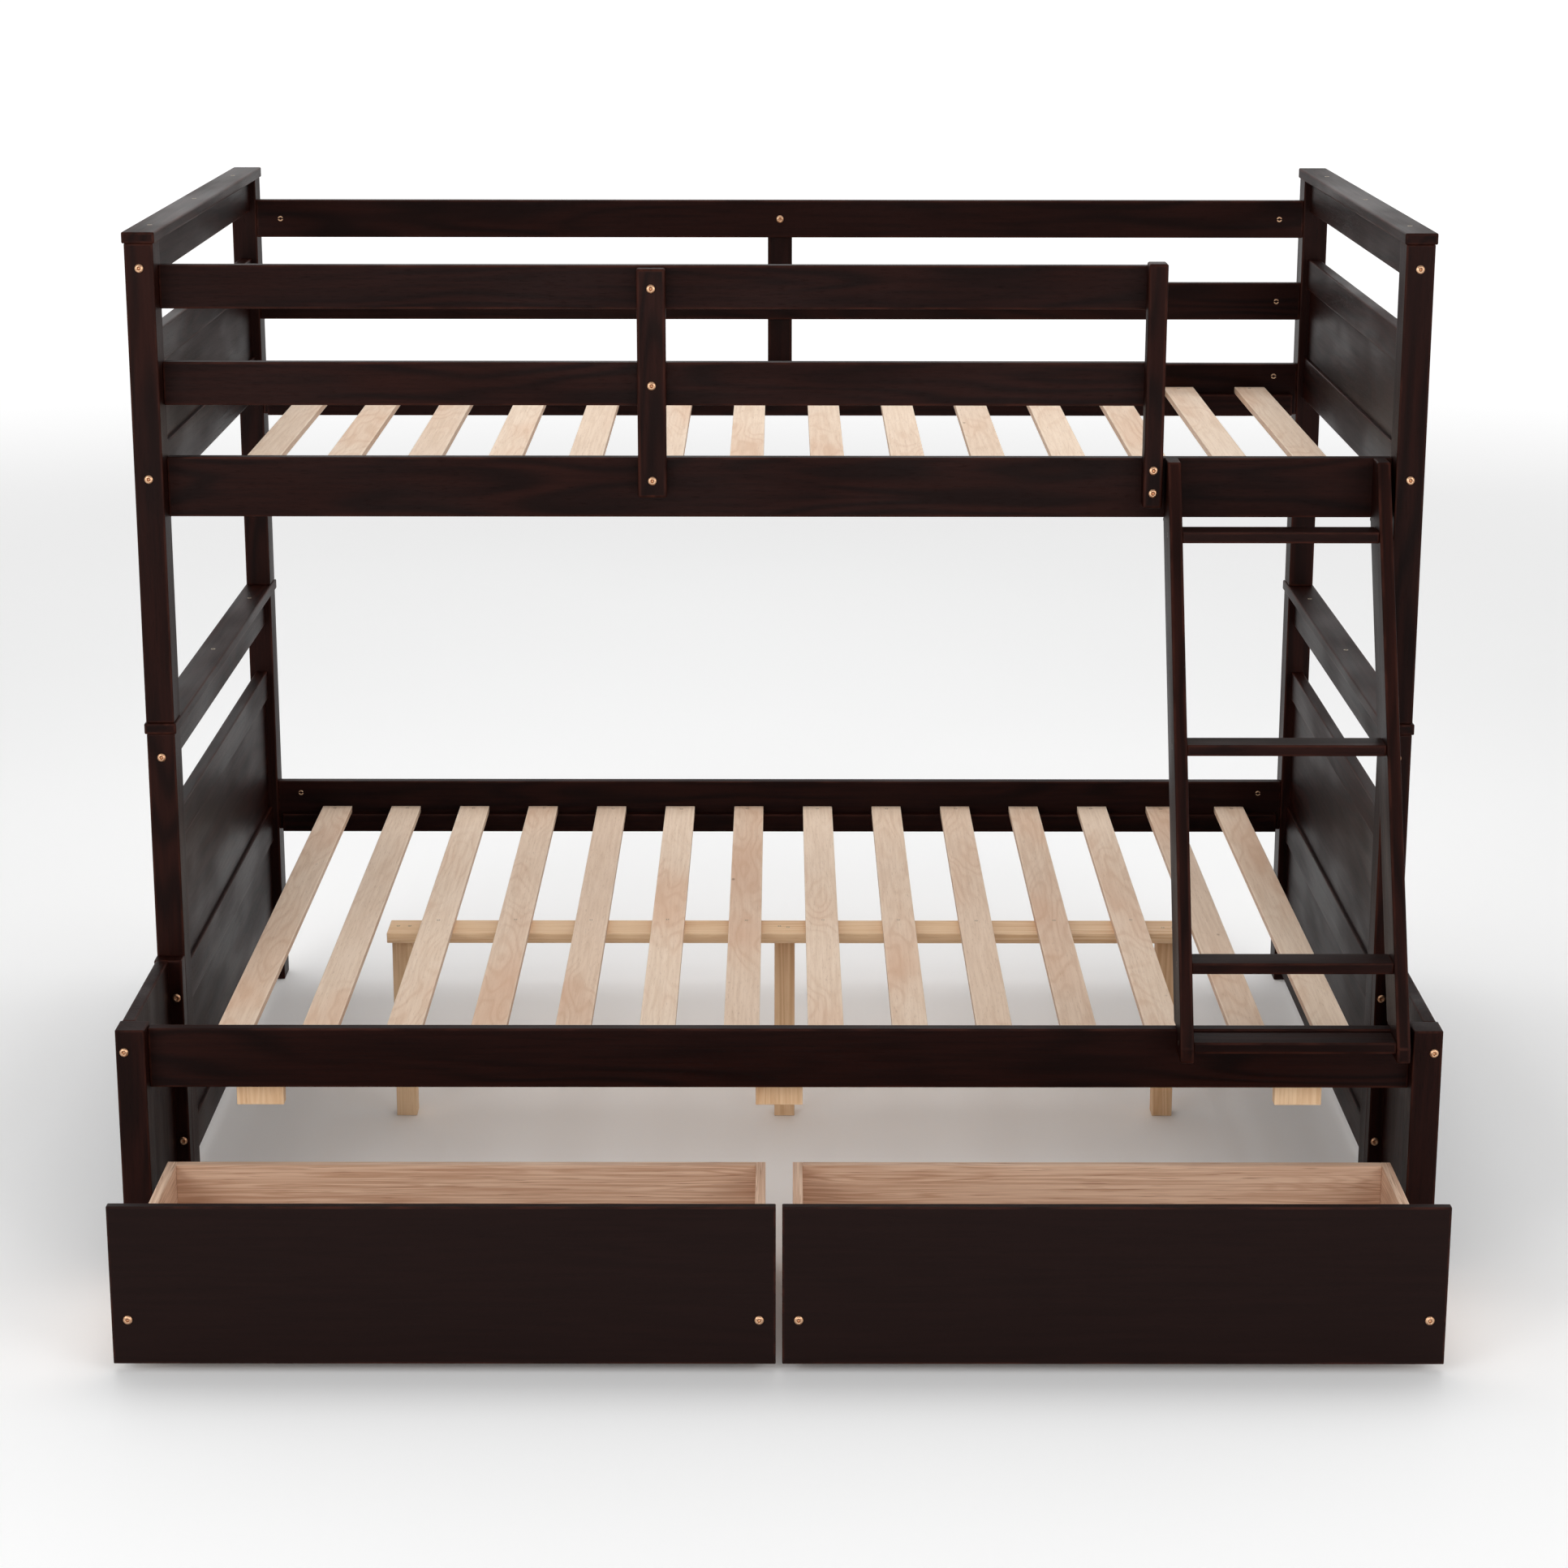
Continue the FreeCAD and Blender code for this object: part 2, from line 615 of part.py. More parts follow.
def drawer(side, sign):
    """A drawer box behind an overlapping front, rolling on four wheels."""
    middle = f"{sign}(drawer_middle)"
    low_x = f"{middle} - box_width / 2"
    high_x = f"{middle} + box_width / 2 - box_board"
    heads = []
    for x in (f"{low_x} + box_board / 2", f"{high_x} + box_board / 2"):
        heads.append(fastener(x, "drawer_face", "drawer_bolt_height", "+y",
                               "drawer_front_thickness + drawer_bolt_bite",
                              [f"drawer_front_{side}", f"drawer_box_{side}"]))
    name = f"drawer_front_{side}"
    front = block(f"{middle} - drawer_width / 2", "drawer_face", "drawer_floor_gap", "drawer_width",
                  "drawer_front_thickness", "drawer_front_height")
    node(name, [drilled(front, name)])
    walls = [block(x, "drawer_back_of_front", "box_bottom", "box_board", "box_depth", "box_height")
             for x in (low_x, high_x)]
    walls.append(block(f"{low_x} + box_board", "box_back - box_board", "box_bottom",
                       "box_width - 2 * box_board", "box_board", "box_height"))
    inside = "box_width - 2 * box_board + 2 * tray_tongue"
    tray = [f"{low_x} + box_board - tray_tongue", "drawer_back_of_front", "tray_underside", inside,
            "box_depth - box_board + tray_tongue", "tray_thickness"]
    groove = block(*tray[:2], f"{tray[2]} - groove_clearance / 2", *tray[3:5],
                   "tray_thickness + groove_clearance")
    name = f"drawer_box_{side}"
    node(name, [drilled(cut(group(walls), [groove]), name)])
    node(f"drawer_bottom_{side}", [block(*tray)])
    node(f"drawer_bolts_{side}", heads)
    forks = []
    inner_width = "wheel_width + 2 * cheek_gap"
    for end in ("front", "back"):
        wheels = []
        for sign_x in "-+":
            x = f"{middle} {sign_x} wheel_side"
            y = f"wheel_{end}"
            shell = block(f"{x} - ({inner_width}) / 2 - fork_sheet", f"{y} - fork_depth / 2", "fork_bottom",
                          f"{inner_width} + 2 * fork_sheet", "fork_depth",
                          "tray_underside - fork_bottom")
            room = block(f"{x} - ({inner_width}) / 2", f"{y} - fork_depth / 2 - cutter_reach",
                         "fork_bottom - cutter_reach",
                         inner_width, "fork_depth + 2 * cutter_reach",
                         "tray_underside - fork_bottom - fork_sheet + cutter_reach")
            bore = rod(f"{x} - wheel_width", y, "wheel_radius", "+x", "axle_radius", "2 * wheel_width")
            forks.append(cut(shell, [room, bore]))
            forks.append(rod(f"{x} - ({inner_width}) / 2 - fork_sheet", y, "wheel_radius", "+x",
                             "axle_radius", f"{inner_width} + 2 * fork_sheet"))
            disc = rod(f"{x} - wheel_width / 2", y, "wheel_radius", "+x", "wheel_radius", "wheel_width")
            hub = rod(f"{x} - wheel_width", y, "wheel_radius", "+x", "axle_radius + axle_clearance",
                      "2 * wheel_width")
            wheels.append(cut(disc, [hub]))
        node(f"drawer_wheels_{end}_{side}", wheels)
    node(f"drawer_casters_{side}", forks)


for side, sign in sides.items():
    drawer(side, sign)

node("frame_bolts", bolts)
node("frame_screws", screws)

doc.recompute()
for thing in doc.Objects:
    if "Invalid" in thing.State or "Error" in thing.State:
        raise RuntimeError(f"{thing.Label} did not compute: {thing.State}")
for thing in nodes:
    if thing.Shape.isNull() or not thing.Shape.isValid():
        raise RuntimeError(f"{thing.Label} has no valid shape")
    thing.Shape.exportStep(f"parts/{thing.Label}.step")
print(len(nodes), "sub-parts written")
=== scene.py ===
# The looks of a bunk bed with a ladder, a wide lower bed and two rolling drawers, built around its CAD model.
import json
import math

import bpy
import numpy as np
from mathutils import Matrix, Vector


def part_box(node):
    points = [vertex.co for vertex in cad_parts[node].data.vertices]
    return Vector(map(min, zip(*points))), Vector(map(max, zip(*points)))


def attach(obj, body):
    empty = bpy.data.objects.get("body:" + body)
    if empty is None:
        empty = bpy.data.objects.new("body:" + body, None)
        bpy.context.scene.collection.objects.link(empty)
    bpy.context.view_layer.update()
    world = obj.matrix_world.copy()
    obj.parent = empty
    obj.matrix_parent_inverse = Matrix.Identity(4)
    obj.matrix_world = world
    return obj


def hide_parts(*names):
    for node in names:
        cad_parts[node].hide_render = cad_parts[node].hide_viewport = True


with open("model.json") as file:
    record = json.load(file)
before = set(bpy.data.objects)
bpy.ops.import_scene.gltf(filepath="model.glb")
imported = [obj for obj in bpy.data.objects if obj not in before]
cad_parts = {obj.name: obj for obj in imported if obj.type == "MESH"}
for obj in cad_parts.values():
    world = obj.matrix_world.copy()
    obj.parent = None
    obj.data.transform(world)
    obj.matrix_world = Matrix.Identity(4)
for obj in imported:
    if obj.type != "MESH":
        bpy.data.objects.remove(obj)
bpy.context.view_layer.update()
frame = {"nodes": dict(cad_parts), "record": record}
bodyOf = {node: body for body, nodes in frame["record"]["behaviour"]["bodies"].items() for node in nodes}
slotOf = {node: frame["nodes"][node].data.materials[0].name for node in frame["nodes"]}
print("frame loaded:", len(frame["nodes"]), "nodes")


def solidsOf(node):
    # every corner takes the lowest number among its triangles until nothing changes: one number a solid
    mesh = frame["nodes"][node].data
    mesh.calc_loop_triangles()
    points = np.empty(len(mesh.vertices) * 3)
    mesh.vertices.foreach_get("co", points)
    corners = np.empty(len(mesh.loop_triangles) * 3, dtype=np.int64)
    mesh.loop_triangles.foreach_get("vertices", corners)
    grid = np.round(points.reshape(-1, 3) * 1e5).astype(np.int64)
    welded, index = np.unique(grid, axis=0, return_inverse=True)
    triangles = index.reshape(-1)[corners].reshape(-1, 3)
    number = np.arange(len(welded))
    while True:
        spread = number.copy()
        np.minimum.at(spread, triangles.ravel(), np.repeat(number[triangles].min(axis=1), 3))
        if np.array_equal(spread, number):
            break
        number = spread
    return [(welded[number == n] * 1e-5, triangles[number[triangles[:, 0]] == n], welded * 1e-5)
            for n in np.unique(number)]


def outlineAlongX(node):
    # the edges that only one triangle of the lowest X face uses, walked round counter-clockwise in Y and Z
    points, triangles, welded = solidsOf(node)[0]
    low = points[:, 0].min()
    flat = triangles[(np.abs(welded[triangles][:, :, 0] - low) < 1e-5).all(axis=1)]
    edges = np.sort(np.concatenate([flat[:, [0, 1]], flat[:, [1, 2]], flat[:, [2, 0]]]), axis=1)
    pairs, times = np.unique(edges, axis=0, return_counts=True)
    pairs = pairs[times == 1]
    start = pairs.ravel()[np.argmax(welded[pairs.ravel(), 2])]
    walk = [start]
    left = pairs.copy()
    while True:
        hit = np.nonzero((left == walk[-1]).any(axis=1))[0]
        if not len(hit):
            break
        step = left[hit[0]]
        left = np.delete(left, hit[0], axis=0)
        walk.append(step[0] if step[1] == walk[-1] else step[1])
    ring = welded[walk[:-1]][:, 1:]
    turn = np.cross(ring - np.roll(ring, 1, axis=0), np.roll(ring, -1, axis=0) - ring)
    ring = ring[np.abs(turn) > 1e-7]
    area = (ring[:, 0] * np.roll(ring[:, 1], -1) - np.roll(ring[:, 0], -1) * ring[:, 1]).sum()
    return ring if area > 0 else ring[::-1]


def easedOutline(corners, inset, radius, flat, steps):
    # an outline moved in by inset. Each corner is an arc that touches both sides: point = centre + radius
    # times a normal that turns evenly from one side's to the next one's. A point on the flat lies either side
    into = corners - np.roll(corners, 1, axis=0)
    out = np.roll(corners, -1, axis=0) - corners
    into /= np.linalg.norm(into, axis=1, keepdims=True)
    out /= np.linalg.norm(out, axis=1, keepdims=True)
    normalIn = np.stack([into[:, 1], -into[:, 0]], axis=1)
    normalOut = np.stack([out[:, 1], -out[:, 0]], axis=1)
    mitre = (normalIn + normalOut) / (1 + (normalIn * normalOut).sum(axis=1, keepdims=True))
    turn = np.sign(into[:, 0] * out[:, 1] - into[:, 1] * out[:, 0])
    bend = np.where(turn > 0, np.maximum(radius - inset, radius * 0.15), radius + inset)
    centre = corners - (inset + turn * bend)[:, None] * mitre
    angle = np.arccos(np.clip((normalIn * normalOut).sum(axis=1), -1, 1))[:, None, None]
    part = np.linspace(0, 1, steps + 1)[None, :, None]
    mixed = np.sin((1 - part) * angle) * normalIn[:, None] + np.sin(part * angle) * normalOut[:, None]
    normal = mixed / np.sin(angle)
    arc = centre[:, None] + (turn * bend)[:, None, None] * normal
    ring = np.concatenate([arc[:, :1] - into[:, None] * flat, arc, arc[:, -1:] + out[:, None] * flat], axis=1)
    worn = np.zeros(ring.shape[:2])
    worn[:, 1:-1] = 1
    return ring.reshape(-1, 2), worn.ravel()


def ringFaces(rings, around, start=0):
    # quads between neighbouring closed rings, and one flat face at each end
    i, j = np.meshgrid(np.arange(rings - 1), np.arange(around), indexing="ij")
    k = (j + 1) % around
    quads = np.stack([i * around + j, i * around + k, (i + 1) * around + k, (i + 1) * around + j], axis=-1)
    ends = [list(range(start, start + around))[::-1],
            list(range(start + (rings - 1) * around, start + rings * around))]
    return (quads.reshape(-1, 4) + start).tolist() + ends


def easedPrism(corners, low, high, axes, radius, flat, steps=3):
    # the outline carried from low to high; near both ends it moves in as a quarter circle rounds the end
    quarter = np.linspace(math.pi / 2, 0, steps + 1)
    inset = np.concatenate([[radius + flat], radius * (1 - np.cos(quarter)), [0]])
    depth = np.concatenate([[0], radius * (1 - np.sin(quarter)), [radius + flat]])
    ringWorn = np.concatenate([[0], np.ones(steps + 1), [0]])
    levels = np.concatenate([low + depth, (high - depth)[::-1]])
    insets = np.concatenate([inset, inset[::-1]])
    ringWorn = np.concatenate([ringWorn, ringWorn[::-1]])
    made = [easedOutline(corners, s, radius, flat, steps) for s in insets]
    flatPart = np.stack([ring for ring, worn in made])
    worn = np.maximum(np.stack([worn for ring, worn in made]), ringWorn[:, None])
    worn[[0, -1]] = 0
    u, v, w = axes
    points = (flatPart[..., :1] * u + flatPart[..., 1:] * v + levels[:, None, None] * w).reshape(-1, 3)
    return points, worn.ravel(), len(levels), flatPart.shape[1]


class Build:
    # gathers boards or turned parts into one piece, with the attributes that the finishes read
    def __init__(self, name, seed):
        self.name, self.count = name, 0
        self.points, self.faces, self.grain, self.tone, self.worn = [], [], [], [], []
        self.chance = np.random.default_rng(seed)

    def add(self, points, faces, grainAxes=None, worn=None):
        axes = np.eye(3) if grainAxes is None else np.array(grainAxes)
        middle = (points.min(axis=0) + points.max(axis=0)) / 2
        shift = self.chance.uniform(2, 40, 3) * (1, 1, 0)
        self.points.append(points)
        self.faces += [[c + self.count for c in face] for face in faces] if self.count else list(faces)
        self.grain.append((points - middle) @ axes.T + shift)
        self.tone.append(np.full(len(points), self.chance.uniform()))
        self.worn.append(np.zeros(len(points)) if worn is None else worn)
        self.count += len(points)

    def addPrism(self, corners, low, high, axes, grainAxes, radius, flat):
        # the outline of corners carried along the third of the axes, from low to high
        points, worn, rings, around = easedPrism(corners, low, high, axes, radius, flat)
        self.add(points, ringFaces(rings, around), grainAxes, worn)

    def addBoard(self, low, high, radius, flat=0.0025):
        # a rectangular board: its section's four corners carried along the longest side, as its grain runs
        size = high - low
        along = int(np.argmax(size))
        u, v = (along + 1) % 3, (along + 2) % 3
        radius = min(radius, size.min() * 0.3)
        flat = min(flat, size.min() * 0.15)
        corners = np.array([[low[u], low[v]], [high[u], low[v]], [high[u], high[v]], [low[u], high[v]]])
        order = np.argsort(-size, kind="stable")
        basis = np.eye(3)
        self.addPrism(corners, low[along], high[along], (basis[u], basis[v], basis[along]),
                      basis[order], radius, flat)

    def finish(self, body, surface, slotName, *nodes, smooth=True):
        mesh = bpy.data.meshes.new(self.name)
        mesh.from_pydata(np.concatenate(self.points).tolist(), [], self.faces)
        mesh.attributes.new("grain", "FLOAT_VECTOR", "POINT").data.foreach_set(
            "vector", np.concatenate(self.grain).astype(np.float32).ravel())
        for word, values in (("tone", self.tone), ("worn", self.worn)):
            mesh.attributes.new(word, "FLOAT", "POINT").data.foreach_set(
                "value", np.concatenate(values).astype(np.float32))
        mesh.polygons.foreach_set("use_smooth", np.full(len(mesh.polygons), smooth))
        mesh.update()
        mesh.materials.append(surface)
        piece = bpy.data.objects.new(self.name, mesh)
        bpy.context.scene.collection.objects.link(piece)
        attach(piece, body)
        if nodes:
            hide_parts(*nodes)
        return piece


def seedOf(name):
    return sum(code * (place + 1) for place, code in enumerate(name.encode()))


def addNode(tree, kind, inputs=(), **settings):
    # makes a shader node; an input is a number, a colour or another node's output
    made = tree.nodes.new("ShaderNode" + kind)
    for word, value in settings.items():
        setattr(made, word, value)
    for place, value in dict(inputs).items():
        if isinstance(value, bpy.types.NodeSocket):
            tree.links.new(value, made.inputs[place])
        else:
            made.inputs[place].default_value = value
    return made


def mathOf(tree, operation, first, second=0.0):
    return addNode(tree, "Math", {0: first, 1: second}, operation=operation).outputs[0]


def blendOf(tree, factor, first, second, kind="MIX"):
    made = addNode(tree, "Mix", {0: factor, 6: first, 7: second}, data_type="RGBA", blend_type=kind)
    return made.outputs[2]


def rangeOf(tree, value, low, high, toLow=0.0, toHigh=1.0):
    return addNode(tree, "MapRange", {0: value, 1: low, 2: high, 3: toLow, 4: toHigh},
                   interpolation_type="SMOOTHSTEP").outputs[0]


def noiseOf(tree, place, scale, detail=3.0, rough=0.5):
    made = addNode(tree, "TexNoise", {"Vector": place, "Scale": scale, "Detail": detail, "Roughness": rough})
    return made.outputs["Fac"]


def stretched(tree, place, x, y, z):
    return addNode(tree, "VectorMath", {0: place, 1: (x, y, z)}, operation="MULTIPLY").outputs[0]


def colour(red, green, blue):
    # a screen colour from 0 to 255 turned to light: each part to the power 2.2
    return tuple((part / 255) ** 2.2 for part in (red, green, blue)) + (1,)


def startSurface(name):
    surface = bpy.data.materials.new(name)
    surface.use_nodes = True
    tree = surface.node_tree
    return surface, tree, tree.nodes["Principled BSDF"]


def bumpInto(tree, shader, height, strength, distance):
    made = addNode(tree, "Bump", {"Height": height, "Strength": strength, "Distance": distance})
    tree.links.new(made.outputs[0], shader.inputs["Normal"])


def drawnOut(tree, grain, along, across, detail, rough):
    # noise drawn out along the grain: a low number along it, a high one across
    return noiseOf(tree, stretched(tree, grain, along, across, across), 1.0, detail, rough)


woodShape = dict(      # bands are the two values that a smooth step runs between
    figureDetail=(2.0, 0.4), streakDetail=(4.0, 0.6), poreDetail=(2.0, 0.5), lineFrom=0.02,
    streakBand=(0.35, 0.7), poreBand=(0.60, 0.72), patchAlong=1.6, patchAcross=5.0, patchDetail=(3.0, 0.5),
    figurePatchBand=(0.35, 0.62), tintPatchBand=(0.45, 0.75), rubAlong=14.0, rubAcross=60.0,
    rubDetail=(3.0, 0.6), rubBand=(0.35, 0.7), smudgeAlong=3.0, smudgeAcross=9.0, smudgeDetail=(2.0, 0.5),
    smudgeBand=(0.3, 0.7), streakRough=0.08, lineRise=0.35, streakRise=0.9,
    plyBand=(0.16, 0.30), knotSquash=2.2, knotHeart=0.35)


def pliesOf(tree, grain, look):
    # thin layers through the thickness, only where a point lies nearer the middle than the faces
    through = addNode(tree, "SeparateXYZ", {0: grain}).outputs[2]
    count = mathOf(tree, "MULTIPLY", mathOf(tree, "ADD", through, look["plyShift"]), look["plies"])
    layer = mathOf(tree, "ABSOLUTE", mathOf(tree, "SUBTRACT", mathOf(tree, "FRACT", count), 0.5))
    edgeOn = mathOf(tree, "LESS_THAN", mathOf(tree, "ABSOLUTE", through), look["plyHalf"])
    amount = mathOf(tree, "MULTIPLY", edgeOn, look["plyAmount"])
    return mathOf(tree, "MULTIPLY", rangeOf(tree, layer, *woodShape["plyBand"]), amount)


def knotsOf(tree, grain, look):
    # round spots, dark at the middles of scattered cells and fading out towards knotSize
    place = stretched(tree, grain, look["knots"], look["knots"] * woodShape["knotSquash"], 0.0)
    cells = addNode(tree, "TexVoronoi", {"Vector": place, "Scale": 1.0}).outputs["Distance"]
    knot = rangeOf(tree, cells, look["knotSize"] * woodShape["knotHeart"], look["knotSize"], 1.0, 0.0)
    return mathOf(tree, "MULTIPLY", knot, look["knotAmount"])


def woodSurface(name, look):
    # figure = contour lines of a slow noise drawn out along the grain; pores = fine streaks;
    # the tone moves each board lighter or darker; worn edges take the edge colour
    surface, tree, shader = startSurface(name)
    shape = woodShape
    grain = addNode(tree, "Attribute", attribute_name="grain").outputs["Vector"]
    tone = addNode(tree, "Attribute", attribute_name="tone").outputs["Fac"]
    worn = addNode(tree, "Attribute", attribute_name="worn").outputs["Fac"]
    slow = drawnOut(tree, grain, look["figureAlong"], look["figureAcross"], *shape["figureDetail"])
    rings = mathOf(tree, "MULTIPLY", slow, look["figureLines"])
    wave = mathOf(tree, "ABSOLUTE", mathOf(tree, "SUBTRACT", mathOf(tree, "FRACT", rings), 0.5))
    line = rangeOf(tree, wave, shape["lineFrom"], look["lineWidth"], 1.0, 0.0)
    streaks = drawnOut(tree, grain, look["streakAlong"], look["streakAcross"], *shape["streakDetail"])
    specks = drawnOut(tree, grain, look["poreAlong"], look["poreAcross"], *shape["poreDetail"])
    pores = rangeOf(tree, specks, *shape["poreBand"])
    patches = drawnOut(tree, grain, shape["patchAlong"], shape["patchAcross"], *shape["patchDetail"])
    figure = mathOf(tree, "MULTIPLY", line, rangeOf(tree, patches, *shape["figurePatchBand"]))
    base = blendOf(tree, mathOf(tree, "MULTIPLY", figure, look["figureAmount"]), look["light"], look["dark"])
    streakPart = mathOf(tree, "MULTIPLY", rangeOf(tree, streaks, *shape["streakBand"]), look["streakAmount"])
    base = blendOf(tree, streakPart, base, look["streak"])
    base = blendOf(tree, mathOf(tree, "MULTIPLY", pores, look["poreAmount"]), base, look["pore"])
    patchPart = rangeOf(tree, patches, *shape["tintPatchBand"], 0.0, look["patchAmount"])
    base = blendOf(tree, patchPart, base, look["patch"])
    if look.get("plies"):
        base = blendOf(tree, pliesOf(tree, grain, look), base, look["ply"])
    if look.get("knots"):
        base = blendOf(tree, knotsOf(tree, grain, look), base, look["knot"])
    darker = mathOf(tree, "MULTIPLY", tone, look["toneAmount"])
    base = blendOf(tree, darker, base, look["toneDark"], "MULTIPLY")
    rub = drawnOut(tree, grain, shape["rubAlong"], shape["rubAcross"], *shape["rubDetail"])
    wear = rangeOf(tree, rub, *shape["rubBand"], look["wearLow"], look["wearHigh"])
    edge = mathOf(tree, "MULTIPLY", worn, wear)
    base = blendOf(tree, edge, base, look["edge"])
    tree.links.new(base, shader.inputs["Base Color"])
    smudge = drawnOut(tree, grain, shape["smudgeAlong"], shape["smudgeAcross"], *shape["smudgeDetail"])
    dull = rangeOf(tree, smudge, *shape["smudgeBand"], look["roughLow"], look["roughHigh"])
    rough = mathOf(tree, "ADD", dull, mathOf(tree, "MULTIPLY", streaks, shape["streakRough"]))
    tree.links.new(rough, shader.inputs["Roughness"])
    shader.inputs["Specular IOR Level"].default_value = look["shine"]
    relief = mathOf(tree, "ADD", mathOf(tree, "MULTIPLY", line, shape["lineRise"]),
                    mathOf(tree, "MULTIPLY", streaks, shape["streakRise"]))
    height = mathOf(tree, "SUBTRACT", relief, pores)
    bumpInto(tree, shader, height, look["bump"], look["bumpDepth"])
    return surface


espressoLook = dict(
    light=colour(39, 20, 16), dark=colour(13, 7, 6), streak=colour(17, 9, 8), pore=colour(10, 6, 6),
    patch=colour(52, 27, 21), edge=colour(70, 39, 31), toneDark=(0.66, 0.60, 0.60, 1),
    figureAlong=1.3, figureAcross=10.0, figureLines=11.0, figureAmount=0.95, lineWidth=0.42,
    streakAlong=7.0, streakAcross=170.0, streakAmount=0.40, poreAlong=50.0, poreAcross=900.0, poreAmount=0.5,
    patchAmount=0.45, toneAmount=0.7, wearLow=0.08, wearHigh=0.55,
    roughLow=0.36, roughHigh=0.50, shine=0.062, bump=0.35, bumpDepth=0.0006)
paintedLook = dict(
    espressoLook, light=colour(32, 20, 18), dark=colour(27, 17, 15), streak=colour(24, 15, 14),
    patch=colour(35, 22, 20), figureAmount=0.35, streakAmount=0.35, patchAmount=0.2, poreAmount=0.2,
    toneAmount=0.15, roughLow=0.38, shine=0.07, bump=0.2)
slatLook = dict(
    light=colour(242, 219, 196), dark=colour(214, 178, 148), streak=colour(214, 184, 158),
    pore=colour(150, 108, 78), patch=colour(222, 178, 146), edge=colour(240, 222, 200),
    toneDark=(0.84, 0.79, 0.76, 1),
    figureAlong=2.4, figureAcross=13.0, figureLines=13.0, figureAmount=0.48, lineWidth=0.30,
    streakAlong=6.0, streakAcross=190.0, streakAmount=0.45, poreAlong=45.0, poreAcross=900.0, poreAmount=0.30,
    patchAmount=0.65, toneAmount=0.75, wearLow=0.1, wearHigh=0.5,
    plies=520.0, plyShift=0.0, plyHalf=0.0052, plyAmount=0.75, ply=colour(168, 122, 92),
    knots=5.0, knotSize=0.055, knotAmount=0.75, knot=colour(128, 84, 58),
    roughLow=0.55, roughHigh=0.68, shine=0.35, bump=0.30, bumpDepth=0.0005)
pineLook = dict(
    light=colour(238, 206, 168), dark=colour(206, 160, 116), streak=colour(214, 172, 132),
    pore=colour(160, 112, 74), patch=colour(232, 196, 158), edge=colour(238, 208, 174),
    toneDark=(0.85, 0.76, 0.68, 1),
    figureAlong=1.1, figureAcross=26.0, figureLines=14.0, figureAmount=0.8, lineWidth=0.40,
    streakAlong=6.0, streakAcross=300.0, streakAmount=0.45, poreAlong=40.0, poreAcross=900.0, poreAmount=0.2,
    patchAmount=0.4, toneAmount=0.6, wearLow=0.1, wearHigh=0.45,
    knots=3.2, knotSize=0.06, knotAmount=0.85, knot=colour(118, 70, 42),
    roughLow=0.55, roughHigh=0.7, shine=0.35, bump=0.4, bumpDepth=0.0007)
drawerLook = dict(
    light=colour(240, 208, 182), dark=colour(204, 164, 136), streak=colour(190, 146, 118),
    pore=colour(154, 108, 82), patch=colour(220, 182, 152), edge=colour(206, 166, 138),
    toneDark=(0.95, 0.92, 0.9, 1),
    figureAlong=1.5, figureAcross=34.0, figureLines=16.0, figureAmount=0.9, lineWidth=0.35,
    streakAlong=4.0, streakAcross=240.0, streakAmount=0.75, poreAlong=12.0, poreAcross=520.0, poreAmount=0.75,
    patchAmount=0.3, toneAmount=0.4, wearLow=0.1, wearHigh=0.4,
    roughLow=0.42, roughHigh=0.52, shine=0.4, bump=0.25, bumpDepth=0.0003)
bottomLook = dict(
    drawerLook, light=colour(222, 188, 160), dark=colour(204, 164, 134), figureAmount=0.5, poreAmount=0.35)


metalShape = dict(tintDetail=(3.0, 0.6), tintBand=(0.35, 0.65), toneAmount=0.5,
                  scratchDetail=(3.0, 0.7), scratchBand=(0.3, 0.7), bumpDepth=0.0002)


def metalSurface(name, look):
    # brushed or plated metal: patchy tint and roughness from noise, fine scratches as bump
    surface, tree, shader = startSurface(name)
    place = addNode(tree, "TexCoord").outputs["Object"]
    worn = addNode(tree, "Attribute", attribute_name="worn").outputs["Fac"]
    tone = addNode(tree, "Attribute", attribute_name="tone").outputs["Fac"]
    tint = noiseOf(tree, place, look["patchScale"], *metalShape["tintDetail"])
    base = blendOf(tree, rangeOf(tree, tint, *metalShape["tintBand"]), look["base"], look["patch"])
    darker = mathOf(tree, "MULTIPLY", tone, metalShape["toneAmount"])
    base = blendOf(tree, darker, base, look["toneDark"], "MULTIPLY")
    base = blendOf(tree, mathOf(tree, "MULTIPLY", worn, look["wear"]), base, look["edge"])
    tree.links.new(base, shader.inputs["Base Color"])
    scratch = noiseOf(tree, place, look["scratchScale"], *metalShape["scratchDetail"])
    rough = rangeOf(tree, scratch, *metalShape["scratchBand"], look["roughLow"], look["roughHigh"])
    tree.links.new(rough, shader.inputs["Roughness"])
    shader.inputs["Metallic"].default_value = look["metal"]
    bumpInto(tree, shader, scratch, look["bump"], metalShape["bumpDepth"])
    return surface


brassLook = dict(
    base=colour(214, 172, 136), patch=colour(184, 136, 106), edge=colour(242, 216, 184),
    toneDark=(0.84, 0.74, 0.68, 1), wear=0.5,
    patchScale=420.0, scratchScale=2600.0, roughLow=0.24, roughHigh=0.40, metal=1.0, bump=0.15)
screwLook = dict(
    base=colour(150, 138, 118), patch=colour(112, 98, 82), edge=colour(206, 196, 176),
    toneDark=(0.8, 0.75, 0.7, 1), wear=0.5,
    patchScale=500.0, scratchScale=2600.0, roughLow=0.30, roughHigh=0.46, metal=1.0, bump=0.15)
slatScrewLook = dict(screwLook, base=colour(112, 100, 88), patch=colour(84, 74, 64))
darkScrewLook = dict(
    screwLook, base=colour(58, 50, 46), patch=colour(42, 36, 34), edge=colour(112, 98, 90), metal=0.8)
